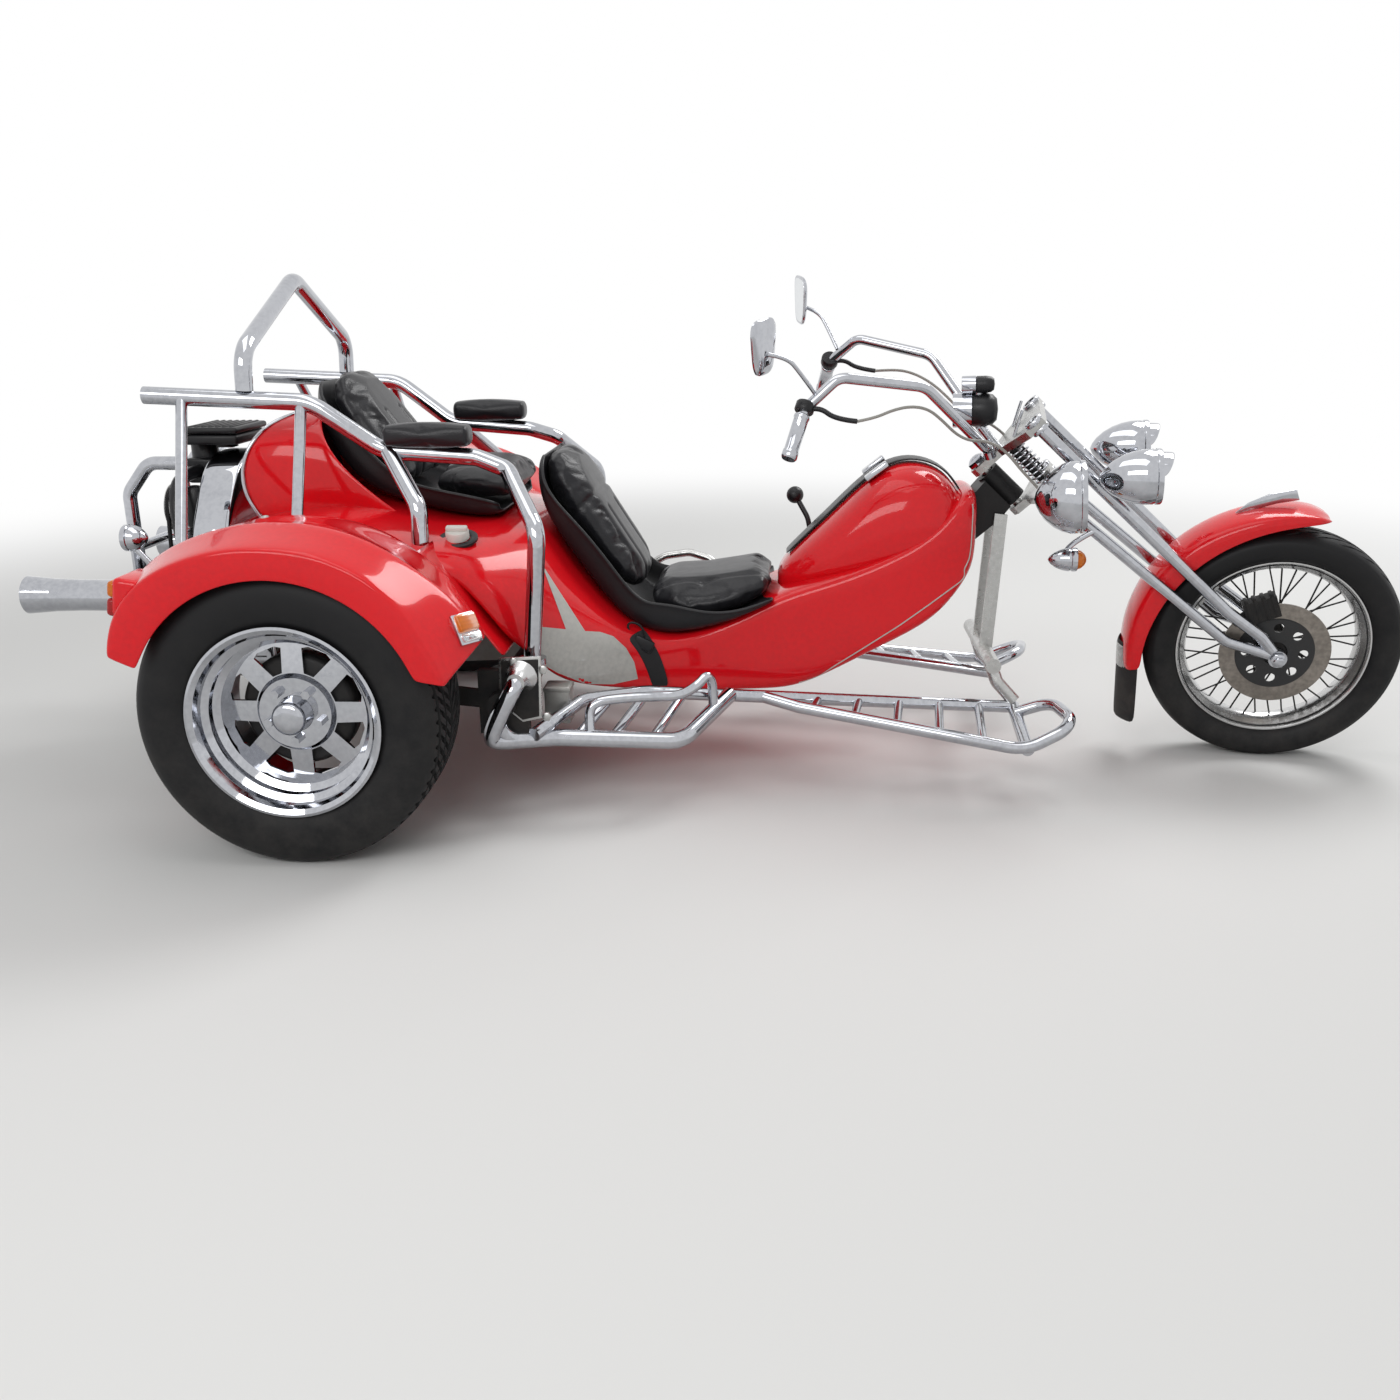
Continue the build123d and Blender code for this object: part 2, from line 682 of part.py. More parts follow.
# Front wheel: tyre, spoked rim, disc
def front_tyre():
    half = FRONT_TYRE_W / 2
    rows = [  # radius, distance across
        (219.5, -37), (232.5, -37.5), (236, -49), (268, -half), (FRONT_TYRE_R - 18, -58),
        (FRONT_TYRE_R - 5, -36), (FRONT_TYRE_R, 0), (FRONT_TYRE_R - 5, 36),
        (FRONT_TYRE_R - 18, 58), (268, half), (236, 49), (232.5, 37.5), (219.5, 37)]
    return turned(rows, (AXLE.X, 0, AXLE.Z), (0, -1, 0))


SPOKES = 40


def front_rim():
    centre = (AXLE.X, 0, AXLE.Z)
    half = FRONT_RIM_W / 2
    ring = [(FRONT_RIM_R, -half), (218, -half), (206, -20), (203, 0), (206, 20), (218, half),
            (FRONT_RIM_R, half), (FRONT_RIM_R, half - 4), (218.5, half - 5), (210, 14), (208, 0),
            (210, -14), (218.5, 5 - half), (FRONT_RIM_R, 4 - half)]
    hub = [(10 + RUN_GAP, -66), (30, -66), (30, -48), (46, -44), (46, -38), (24, -28), (24, 28),
           (46, 38), (46, 44), (30, 48), (30, 66), (10 + RUN_GAP, 66)]
    wheel = turned(ring, centre, (0, -1, 0)) + turned(hub, centre, (0, -1, 0))
    pole = Plane(at(*centre), z_dir=(0, -1, 0))
    for n in range(SPOKES):
        side = 1 if n % 2 else -1
        lean = 16 if n % 4 < 2 else -16
        a = radians(360 / SPOKES * n)
        b = a + radians(lean)
        start = at(42 * cos(b), 42 * sin(b), 41 * side)
        end = at(206 * cos(a), 206 * sin(a), 8 * side)
        wheel += pole * rod(tuple(start), tuple(end), 4)
    return wheel


def brake_disc():
    centre = (AXLE.X, 0, AXLE.Z)
    rows = [(30.5, 67), (92, 67), (92, 66), (132, 66), (132, 71), (92, 71), (92, 72), (30.5, 72)]
    disc = turned(rows, centre, (0, -1, 0))
    pole = Plane(at(*centre), z_dir=(0, -1, 0))
    for n in range(8):
        disc -= pole * Rot(0, 0, 45 * n) * Pos(68, 0, 50) * extrude(Circle(12), 40)
    return disc


def caliper():
    block = Pos(AXLE.X - 50, -69, AXLE.Z + 118) * Rot(0, -22, 0) * Box(80, 38, 56)
    slot = Plane((AXLE.X, -60.5, AXLE.Z), z_dir=(0, -1, 0)) * extrude(Circle(140), 17)
    x, z = AXLE.X, AXLE.Z
    arm = side_plate([(x - 122, z + 84), (x - 104, z + 70), (x - 40, z + 100), (x - 70, z + 130)],
                     -81.9, -77.5)
    return (block - slot) + arm - fork_legs()


add("front_tyre", front_tyre(), True)
add("front_rim", front_rim(), True)
add("brake_disc", brake_disc(), True)
add("caliper", caliper(), True)


def side_lamp():
    return Pos(392, -735, 520) * Rot(0, 0, 18) * Box(16, 52, 62)


def tail_lamp():
    """An upright lens that fills the fender's rear corner."""
    rear_face = Plane((-341, -800, 557), x_dir=(-0.988, 0, 0.155), z_dir=(0.155, 0, 0.988))
    lens = rear_face * Pos(-45, 0, 44) * Box(90, 116, 88)
    return (lens - fender()).solids().sort_by(Axis.X)[0]


def rear_lamp():
    body = lamp((-470, -440, 640), 62, 64, 180)
    stalk = rod((-470, -440, 612), (-430, -430, 560), 16)
    return body + stalk


add("rear_lamps", both(rear_lamp()))
add("side_lamps", both(side_lamp()))
add("tail_lamps", both(tail_lamp()))

# Write every piece, the steered ones turned about the head and all of them moved back
STEER_AXIS = Axis(HEAD, DOWN * -1)
os.makedirs("parts", exist_ok=True)
for name, shape in parts.items():
    if name in steered:
        shape = shape.rotate(STEER_AXIS, STEER_DEG)
    export_step(Pos(-ORIGIN_X, 0, 0) * shape, f"parts/{name}.step")
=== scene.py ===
# %% [markdown]
# # A motorized trike, dressed round its frame
#
# The CAD model already holds every tube, wheel and joint at its true size. This lesson
# loads it, keeps the pieces whose shape is right, and replaces the plain ones, such as
# the body panels, seats, tyres and lamps, with smooth shells and proper finishes.

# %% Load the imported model
import json
import math

import bmesh
import bpy
from mathutils import Matrix, Vector
from mathutils.bvhtree import BVHTree


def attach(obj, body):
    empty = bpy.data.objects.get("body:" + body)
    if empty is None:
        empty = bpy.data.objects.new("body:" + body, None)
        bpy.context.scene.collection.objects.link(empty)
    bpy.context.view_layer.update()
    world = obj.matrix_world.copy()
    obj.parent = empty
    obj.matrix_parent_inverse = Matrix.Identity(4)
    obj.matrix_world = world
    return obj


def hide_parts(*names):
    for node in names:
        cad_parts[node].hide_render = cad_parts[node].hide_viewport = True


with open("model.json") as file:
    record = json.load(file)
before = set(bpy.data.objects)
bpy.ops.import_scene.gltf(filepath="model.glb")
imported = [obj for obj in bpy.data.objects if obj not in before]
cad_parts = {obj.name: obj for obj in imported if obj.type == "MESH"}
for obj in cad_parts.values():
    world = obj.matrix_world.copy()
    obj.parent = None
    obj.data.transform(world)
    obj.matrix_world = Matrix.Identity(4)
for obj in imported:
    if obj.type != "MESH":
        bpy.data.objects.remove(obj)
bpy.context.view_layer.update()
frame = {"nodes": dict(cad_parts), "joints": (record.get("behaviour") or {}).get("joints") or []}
nodes = frame["nodes"]
joints = {joint["name"]: joint for joint in frame["joints"]}
print("CAD nodes:", len(nodes), "joints:", len(joints))

# %% [markdown]
# ## Places
#
# The trike was laid out in millimetres from the ground under the rear axle, with X
# forward, Y to the rider's left and Z up. The joints in the record say where that axle
# and the steering axis are, so every place below is worked out from them. The fork is
# shaped as if it stood straight and is then turned about the steering axis, as on the
# parked trike.

# %% Measures, and the fork's own frame
MM = 0.001
AXLE_X = joints["rear_wheel_right_spin"]["pos_m"][0]
REAR_AXLE_Z = joints["rear_wheel_right_spin"]["pos_m"][2] / MM
REAR_WHEEL_Y = 725
HEAD = Vector(joints["steering"]["pos_m"])
STEER_UP = Vector(joints["steering"]["axis"])
STEER_DEG = -11.5
FRONT_AXLE = (2282, 0, 309.8)
RIGHT, LEFT = -1, 1
SIDES = {RIGHT: "right", LEFT: "left"}


def at(x, y, z):
    """A place in millimetres from the ground under the rear axle, in the frame's metres."""
    return Vector((AXLE_X + x * MM, y * MM, z * MM))


def twins(route):
    """The same route in millimetres on the right and on the left of the trike."""
    return [[at(x, side * y, z) for x, y, z in route] for side in SIDES]


TURN = (Matrix.Translation(HEAD) @ Matrix.Rotation(math.radians(STEER_DEG), 4, STEER_UP)
        @ Matrix.Translation(-HEAD))
AHEAD = Vector((-STEER_UP.z, 0, STEER_UP.x)) * -1


def fork(down, ahead, y):
    """A place beside the straight fork: down along its axis, and ahead of it, in millimetres."""
    return HEAD - STEER_UP * down * MM + AHEAD * ahead * MM + Vector((0, y * MM, 0))


print("steering axis through", HEAD, "ahead is", AHEAD)

# %% [markdown]
# ## Camera, light and floor
#
# The photograph was taken from beside the trike at chest height, looking slightly down.
# The camera's angles come from matching pairs of right and left tubes. Large soft lamps
# light the shapes, and the floor and backdrop are pale and plain.

# %% Camera at the photograph's place
CAMERA_PLACE = at(1025, -3267, 1172)
CAMERA_YAW, CAMERA_PITCH, CAMERA_ROLL = 0.065, 0.311, -0.008
LENS_MM, SENSOR_MM = 32.6, 36.0

look = Vector((-math.sin(CAMERA_YAW) * math.cos(CAMERA_PITCH),
               math.cos(CAMERA_YAW) * math.cos(CAMERA_PITCH), -math.sin(CAMERA_PITCH)))
level = Vector((math.cos(CAMERA_YAW), math.sin(CAMERA_YAW), 0))
above = level.cross(look)
right = level * math.cos(CAMERA_ROLL) + above * math.sin(CAMERA_ROLL)
top = above * math.cos(CAMERA_ROLL) - level * math.sin(CAMERA_ROLL)
camera = bpy.data.objects.new("camera", bpy.data.cameras.new("camera"))
camera.data.lens = LENS_MM
camera.data.sensor_width = SENSOR_MM
camera.matrix_world = Matrix.Translation(CAMERA_PLACE) @ Matrix(
    (right, top, -look)).transposed().to_4x4()
bpy.context.scene.collection.objects.link(camera)
bpy.context.scene.camera = camera
print("camera at", CAMERA_PLACE, "with a lens of", LENS_MM, "mm")

# %% Helpers for shader nodes


def node(tree, kind, links=(), **settings):
    """Adds a node, sets its properties or plain inputs, and joins (output, input name) pairs."""
    made = tree.nodes.new("ShaderNode" + kind)
    for key, value in settings.items():
        if hasattr(made, key):
            setattr(made, key, value)
        else:
            made.inputs[key.replace("_", " ")].default_value = value
    for source, target in links:
        tree.links.new(source, made.inputs[target])
    return made


def out(tree, kind, links=(), output=0, **settings):
    """Adds a node in the same way and returns one of its outputs."""
    return node(tree, kind, links, **settings).outputs[output]


def seen_rays(tree):
    """1 for rays that show the backdrop, straight, through glass or in a mirror, else 0."""
    rays = node(tree, "LightPath").outputs
    seen = out(tree, "Math", [(rays["Is Camera Ray"], 0), (rays["Is Transmission Ray"], 1)],
               operation="MAXIMUM")
    return out(tree, "Math", [(seen, 0), (rays["Is Glossy Ray"], 1)], operation="MAXIMUM")

# %% Lamps and world


def area_lamp(name, place, target, size, power):
    lamp = bpy.data.objects.new(name, bpy.data.lights.new(name, "AREA"))
    lamp.data.shape = "RECTANGLE"
    lamp.data.size, lamp.data.size_y = size
    lamp.data.energy = power
    aim = (Vector(target) - Vector(place)).to_track_quat("-Z", "Y")
    lamp.matrix_world = Matrix.Translation(place) @ aim.to_matrix().to_4x4()
    bpy.context.scene.collection.objects.link(lamp)


area_lamp("key lamp", (2.6, 2.4, 4.6), (0, 0, 0.5), (2.4, 2.4), 150)
area_lamp("side lamp", (-1.5, -4.6, 3.2), (0, 0, 0.5), (4.0, 1.6), 95)
area_lamp("top lamp", (-0.6, -0.6, 4.8), (0, 0, 0), (4.5, 2.0), 40)

WORLD_LIGHT, WHITE = 0.40, (1.0, 1.0, 1.0, 1.0)
world = bpy.data.worlds.new("studio")
bpy.context.scene.world = world
world.use_nodes = True
sky = world.node_tree
sky.nodes.clear()
strength = out(sky, "MapRange", [(seen_rays(sky), "Value")], To_Min=WORLD_LIGHT)
backdrop = out(sky, "Background", [(strength, "Strength")], Color=WHITE)
node(sky, "OutputWorld", [(backdrop, "Surface")])
print("lamps:", len(bpy.data.lights), "world light:", WORLD_LIGHT)

# %% Floor that fades into the backdrop
FLOOR_FADE = (2.2, 6.0)
floor_bm = bmesh.new()
bmesh.ops.create_grid(floor_bm, x_segments=1, y_segments=1, size=40.0)
floor_mesh = bpy.data.meshes.new("floor")
floor_bm.to_mesh(floor_mesh)
floor_bm.free()
floor = bpy.data.objects.new("floor", floor_mesh)
bpy.context.scene.collection.objects.link(floor)
floor_paint = bpy.data.materials.new("pale floor")
floor_paint.use_nodes = True
tree = floor_paint.node_tree
ground = tree.nodes["Principled BSDF"]
ground.inputs["Base Color"].default_value = (0.72, 0.72, 0.71, 1)
ground.inputs["Roughness"].default_value = 0.85
reach = out(tree, "VectorMath", [(out(tree, "TexCoord", output="Object"), 0)], "Value",
            operation="LENGTH")
fade = out(tree, "MapRange", [(reach, "Value")], interpolation_type="SMOOTHERSTEP",
           From_Min=FLOOR_FADE[0], From_Max=FLOOR_FADE[1])
share = out(tree, "Math", [(seen_rays(tree), 0), (fade, 1)], operation="MULTIPLY")
far_light = out(tree, "Emission", Color=WHITE)
mixed = out(tree, "MixShader", [(share, "Fac"), (ground.outputs[0], 1), (far_light, 2)])
tree.links.new(mixed, tree.nodes["Material Output"].inputs["Surface"])
floor_mesh.materials.append(floor_paint)
bpy.context.scene.view_settings.view_transform = "Standard"
print("floor fades between", FLOOR_FADE, "metres from the middle")

# %% [markdown]
# ## Finishes
#
# Real paint, chrome and leather are never one flat colour. Three small effects are shared
# by the finishes, so each is a node group that is built once: faint smears that change the
# gloss, fine pebbled grain for leather and plastic, and road dust that gathers low down.
# They only put out masks and heights, and each material decides what to do with them.

# %% Shared effects as node groups


def new_group(name, inputs, outputs):
    """A shader node group with plain number sockets; returns the tree, its inputs and its end."""
    tree = bpy.data.node_groups.new(name, "ShaderNodeTree")
    for label, value in inputs:
        socket = tree.interface.new_socket(label, in_out="INPUT", socket_type="NodeSocketFloat")
        socket.default_value = value
    for label in outputs:
        tree.interface.new_socket(label, in_out="OUTPUT", socket_type="NodeSocketFloat")
    return tree, tree.nodes.new("NodeGroupInput").outputs, tree.nodes.new("NodeGroupOutput").inputs


def smear_group():
    tree, given, result = new_group("gloss smears", [("Scale", 6.0)], ["Mask"])
    place = out(tree, "TexCoord", output="Object")
    broad = out(tree, "TexNoise", [(place, "Vector"), (given["Scale"], "Scale")], "Fac", Detail=5.0,
                Roughness=0.62)
    fine = out(tree, "TexNoise", [(place, "Vector")], "Fac", Scale=90.0, Detail=3.0)
    mixed = out(tree, "Math", [(broad, 0), (fine, 1)], operation="MULTIPLY")
    lifted = out(tree, "MapRange", [(mixed, "Value")], From_Min=0.16, From_Max=0.38)
    tree.links.new(lifted, result["Mask"])
    return tree


def grain_group():
    tree, given, result = new_group("pebbled grain", [("Scale", 300.0), ("Creases", 0.4)],
                                    ["Height", "Mask"])
    place = out(tree, "TexCoord", output="Object")
    cells = out(tree, "TexVoronoi", [(place, "Vector"), (given["Scale"], "Scale")], "Distance",
                feature="SMOOTH_F1")
    creases = out(tree, "TexNoise", [(place, "Vector")], "Fac", Scale=22.0, Detail=6.0,
                  Distortion=1.2)
    deep = out(tree, "Math", [(creases, 0), (given["Creases"], 1)], operation="MULTIPLY")
    height = out(tree, "Math", [(cells, 0), (deep, 1)], operation="ADD")
    tree.links.new(height, result["Height"])
    tree.links.new(creases, result["Mask"])
    return tree


def dust_group():
    tree, given, result = new_group("road dust", [("Top", 0.5), ("Amount", 0.5)], ["Mask"])
    place = out(tree, "TexCoord", output="Object")
    height = out(tree, "SeparateXYZ", [(place, 0)], "Z")
    low = out(tree, "MapRange", [(height, "Value"), (given["Top"], "From Max")], To_Min=1.0,
              To_Max=0.0)
    speckle = out(tree, "TexNoise", [(place, "Vector")], "Fac", Scale=14.0, Detail=8.0,
                  Roughness=0.7)
    patch = out(tree, "MapRange", [(speckle, "Value")], From_Min=0.36, From_Max=0.72)
    both = out(tree, "Math", [(low, 0), (patch, 1)], operation="MULTIPLY")
    share = out(tree, "Math", [(both, 0), (given["Amount"], 1)], operation="MULTIPLY")
    tree.links.new(share, result["Mask"])
    return tree


SMEARS, GRAIN, DUST = smear_group(), grain_group(), dust_group()
print("shared effects:", SMEARS.name, GRAIN.name, DUST.name)

# %% Helpers for finishes


def effect(tree, group, **values):
    """Places a shared effect in a material, with its own values, and returns its outputs."""
    made = tree.nodes.new("ShaderNodeGroup")
    made.node_tree = group
    for label, value in values.items():
        made.inputs[label].default_value = value
    return made.outputs


def blend_colours(tree, mask, low, high):
    """A mix node that goes from one colour to another with the mask; returns its output."""
    mix = tree.nodes.new("ShaderNodeMix")
    mix.data_type = "RGBA"
    tree.links.new(mask, mix.inputs["Factor"])
    for socket, colour in (("A", low), ("B", high)):
        target = [s for s in mix.inputs if s.name == socket and s.type == "RGBA"][0]
        if isinstance(colour, tuple):
            target.default_value = (*colour, 1.0)
        else:
            tree.links.new(colour, target)
    return [s for s in mix.outputs if s.type == "RGBA"][0]


def tinted(shader, mask, low, high, rough=None):
    """Blends the base colour from low to high with the mask, and the roughness over a range."""
    tree = shader.id_data
    tree.links.new(blend_colours(tree, mask, low, high), shader.inputs["Base Color"])
    if rough:
        spread = out(tree, "MapRange", [(mask, "Value")], To_Min=rough[0], To_Max=rough[1])
        tree.links.new(spread, shader.inputs["Roughness"])


def bumped(shader, height, strength, distance):
    """Lets a height raise the surface's shading."""
    normal = out(shader.id_data, "Bump", [(height, "Height")], "Normal", Strength=strength,
                 Distance=distance)
    shader.id_data.links.new(normal, shader.inputs["Normal"])


def finish(name, **settings):
    """A new material with plain numbers on its shader; returns it, its tree and its shader."""
    made = bpy.data.materials.new(name)
    made.use_nodes = True
    shader = made.node_tree.nodes["Principled BSDF"]
    for label, number in ({"IOR": 1.5, "Coat_Roughness": 0.03} | settings).items():
        shader.inputs[label.replace("_", " ")].default_value = number
    return made, made.node_tree, shader

# %% [markdown]
# ### Paint and metal
#
# The body is glass fibre with a deep gloss coat, so the colour sits under a clear layer
# and only faint smears dull it. Chrome is a mirror with smudges. Cast alloy and painted
# steel under the trike are rough and dusty.

# %% Paint and metal finishes


def paint(name, colour, shade, gloss):
    made, tree, shader = finish(name, Coat_Weight=0.45, Specular_IOR_Level=0.12)
    tinted(shader, effect(tree, SMEARS, Scale=3.0)["Mask"], colour, shade, (gloss, gloss + 0.12))
    return made


def metal(name, colour, smoothness, spread, tint, scale=7.0):
    made, tree, shader = finish(name, Metallic=1.0)
    tinted(shader, effect(tree, SMEARS, Scale=scale)["Mask"], colour, tint,
           (smoothness, smoothness + spread))
    return made


def cast(name, colour, dirt, metallic, rough):
    """Sand cast or painted metal that road dust has settled on."""
    made, tree, shader = finish(name, Metallic=metallic, Specular_IOR_Level=0.2)
    tinted(shader, effect(tree, DUST, Top=0.9, Amount=0.7)["Mask"], colour, dirt, (rough, 0.85))
    bumped(shader, effect(tree, GRAIN, Scale=420.0, Creases=0.2)["Height"], 0.25, 0.0006)
    return made


def ground_disc():
    """The brake disc's face, ground in fine rings about the front axle, on a black middle."""
    made, tree, shader = finish("ground disc face", Metallic=1.0, Roughness=0.42)
    place = out(tree, "TexCoord", output="Object")
    centred = out(tree, "Mapping", [(place, "Vector")], Location=-(TURN @ at(*FRONT_AXLE)))
    radius = out(tree, "VectorMath", [(centred, 0)], "Value", operation="LENGTH")
    waves = node(tree, "Math", [(radius, 0)], operation="MULTIPLY")
    waves.inputs[1].default_value = 2600.0
    bumped(shader, out(tree, "Math", [(waves.outputs[0], 0)], operation="SINE"), 0.2, 0.0002)
    face = blend_colours(tree, effect(tree, SMEARS, Scale=12.0)["Mask"], (0.20, 0.18, 0.16),
                         (0.30, 0.27, 0.24))
    outer = out(tree, "MapRange", [(radius, "Value")], From_Min=0.1175, From_Max=0.1185)
    tinted(shader, outer, (0.012, 0.012, 0.013), face)
    tree.links.new(outer, shader.inputs["Metallic"])
    return made


RED = paint("gloss red", (0.74, 0.006, 0.012), (0.66, 0.007, 0.013), 0.12)
SILVER = paint("silver panel paint", (0.50, 0.50, 0.47), (0.42, 0.42, 0.40), 0.30)
CHROME = metal("polished chrome", (0.50, 0.51, 0.54), 0.03, 0.06, (0.42, 0.43, 0.46))
STEEL = metal("satin steel", (0.50, 0.50, 0.49), 0.24, 0.16, (0.42, 0.42, 0.41), 20.0)
RIM_ALLOY = metal("polished rim alloy", (0.54, 0.54, 0.54), 0.16, 0.14, (0.56, 0.56, 0.56), 14.0)
ALLOY = cast("rough cast alloy", (0.34, 0.34, 0.33), (0.20, 0.17, 0.14), 0.85, 0.42)
BLACK_PAINT = cast("black chassis paint", (0.010, 0.010, 0.011), (0.06, 0.052, 0.045), 0.0, 0.38)
DISC = ground_disc()
print("finishes so far:", ", ".join(material.name for material in bpy.data.materials))

# %% [markdown]
# ### Leather, rubber, plastic and glass
#
# Seat leather has a pebbled grain with soft creases. Tyres are matt and hold dust in
# the lower half. The amber and clear lenses let light through.

# %% Soft and clear finishes


def grained(name, colour, worn, scale, creases, rough, strength, sheen=0.0):
    made, tree, shader = finish(name, Sheen_Weight=sheen, Specular_IOR_Level=0.3)
    grain = effect(tree, GRAIN, Scale=scale, Creases=creases)
    tinted(shader, grain["Mask"], colour, worn, (rough - 0.07, rough + 0.07))
    bumped(shader, grain["Height"], strength, 0.0012)
    return made


def rubber(name, colour, dust_colour, top, amount):
    made, tree, shader = finish(name, Specular_IOR_Level=0.2)
    dust = effect(tree, DUST, Top=top, Amount=amount)["Mask"]
    tinted(shader, dust, colour, dust_colour, (0.48, 0.9))
    bumped(shader, effect(tree, GRAIN, Scale=700.0, Creases=0.5)["Height"], 0.12, 0.0008)
    return made


def lens(name, colour, transmission, rough):
    """Moulded clear plastic with fine vertical ribs on its inner side."""
    made, tree, shader = finish(name, Transmission_Weight=transmission, IOR=1.49, Roughness=rough,
                                Specular_IOR_Level=0.35)
    place = out(tree, "TexCoord", output="Object")
    ribs = out(tree, "TexWave", [(place, "Vector")], "Fac", Scale=42.0, bands_direction="Z")
    tinted(shader, ribs, colour, tuple(c * 0.92 for c in colour))
    bumped(shader, ribs, 0.15, 0.0008)
    return made


LEATHER = grained("soft black leather", (0.008, 0.008, 0.010), (0.016, 0.016, 0.019), 330.0, 0.9,
                  0.34, 0.32, sheen=0.03)
PLASTIC = grained("moulded black plastic", (0.008, 0.008, 0.009), (0.013, 0.013, 0.015), 650.0,
                  0.1, 0.36, 0.18)
WHITE_PLASTIC = grained("white cap plastic", (0.70, 0.70, 0.66), (0.62, 0.62, 0.58), 500.0, 0.1,
                        0.4, 0.08)
TYRE = rubber("tyre rubber", (0.010, 0.010, 0.011), (0.075, 0.07, 0.065), 0.62, 0.4)
FLAP = rubber("flap rubber", (0.014, 0.014, 0.015), (0.10, 0.09, 0.08), 0.5, 0.6)
WEBBING = grained("belt webbing", (0.012, 0.012, 0.013), (0.02, 0.02, 0.022), 900.0, 0.2, 0.7, 0.4)
GREY_SHEATH = grained("grey cable sheath", (0.36, 0.35, 0.32), (0.28, 0.27, 0.25), 900.0, 0.1,
                      0.42, 0.1)
MIRROR_GLASS = metal("mirror glass", (0.72, 0.74, 0.75), 0.01, 0.03, (0.66, 0.68, 0.70))
AMBER = lens("amber lens", (0.80, 0.20, 0.008), 0.3, 0.12)
CLEAR = lens("clear lens", (0.93, 0.95, 0.95), 0.95, 0.03)
RED_LENS = lens("red lens", (0.48, 0.006, 0.006), 0.3, 0.12)
print("finishes and floor:", len(bpy.data.materials))

# %% [markdown]
# ## Tools for making pieces
#
# Every new piece starts in a bmesh. These helpers spin a profile, loft a ring of points
# from section to section, and then turn the result into an object that rides on one of
# the trike's bodies.

# %% Moving, joining and mirroring


def moved(bm, matrix):
    """Moves or turns a whole bmesh."""
    bmesh.ops.transform(bm, matrix=matrix, verts=bm.verts)
    return bm


def gathered(parts):
    """Joins bmeshes into one, in their order."""
    whole = bmesh.new()
    for part in parts:
        passing = bpy.data.meshes.new("passing")
        part.to_mesh(passing)
        part.free()
        whole.from_mesh(passing)
        bpy.data.meshes.remove(passing)
    return whole


def mirrored(half, *middle, across=0):
    """Half an outline, its middle, and the half backwards with its across number negated."""
    back = [tuple(-v if n == across else v for n, v in enumerate(row)) for row in reversed(half)]
    return [*half, *middle, *back]


def about(axis, degrees):
    """A turn about one of the trike's own axes."""
    return Matrix.Rotation(math.radians(degrees), 4, axis)


def both_sides(bm):
    """Adds the mirror image of everything in the bmesh, across the trike's middle."""
    copy = bmesh.ops.duplicate(bm, geom=bm.verts[:] + bm.edges[:] + bm.faces[:])["geom"]
    verts = [v for v in copy if isinstance(v, bmesh.types.BMVert)]
    faces = [f for f in copy if isinstance(f, bmesh.types.BMFace)]
    bmesh.ops.scale(bm, vec=(1, -1, 1), verts=verts)
    bmesh.ops.reverse_faces(bm, faces=faces)
    return bm


def upward(bm, highest=True):
    """Turns an open shell's faces the right way, going by its highest or its lowest face."""
    pick = max if highest else min
    if pick(bm.faces, key=lambda f: f.calc_center_median().z).normal.z < 0:
        bmesh.ops.reverse_faces(bm, faces=bm.faces)
    return bm

# %% [markdown]
# ### Four basic forms
#
# A spun profile, a loft through sections, a bevelled block and a flat plate are enough
# for nearly everything on the trike.

# %% Spun, lofted, block and plate


def facing(centre, axis):
    """The matrix that stands a piece made along Z at a centre, along an axis."""
    turn = Vector(axis).to_track_quat("Z", "Y").to_matrix().to_4x4()
    return Matrix.Translation(centre) @ turn


def spun(rows, centre=(0, 0, 0), axis=(0, 0, 1), steps=64, closed=False):
    """Spins a profile of (radius, distance along the axis) rows, in millimetres."""
    bm = bmesh.new()
    chain = [bm.verts.new((radius * MM, 0, along * MM)) for radius, along in rows]
    edges = [bm.edges.new(pair) for pair in zip(chain, chain[1:])]
    if closed:
        edges.append(bm.edges.new((chain[-1], chain[0])))
    bmesh.ops.spin(bm, geom=chain + edges, cent=(0, 0, 0), axis=(0, 0, 1), dvec=(0, 0, 0),
                   angle=math.tau, steps=steps, use_merge=True, use_duplicate=False)
    bmesh.ops.remove_doubles(bm, verts=bm.verts, dist=1e-6)
    bmesh.ops.recalc_face_normals(bm, faces=bm.faces)
    return moved(bm, facing(centre, axis))


def lofted(sections, ring=True, caps=True):
    """Extrudes a ring, or an open row, of points from section to section."""
    bm = bmesh.new()
    front = [bm.verts.new(point) for point in sections[0]]
    pairs = list(zip(front, front[1:])) + ([(front[-1], front[0])] if ring else [])
    edges = [bm.edges.new(pair) for pair in pairs]
    if ring and caps:
        bmesh.ops.contextual_create(bm, geom=edges)
    for section in sections[1:]:
        grown = bmesh.ops.extrude_edge_only(bm, edges=edges)["geom"]
        fresh = {v for v in grown if isinstance(v, bmesh.types.BMVert)}
        edges = [e for e in grown if isinstance(e, bmesh.types.BMEdge)]
        front = [next(e.other_vert(old) for e in old.link_edges if e.other_vert(old) in fresh)
                 for old in front]
        for vert, point in zip(front, section):
            vert.co = point
    if ring and caps:
        bmesh.ops.contextual_create(bm, geom=edges)
    bmesh.ops.recalc_face_normals(bm, faces=bm.faces)
    return bm


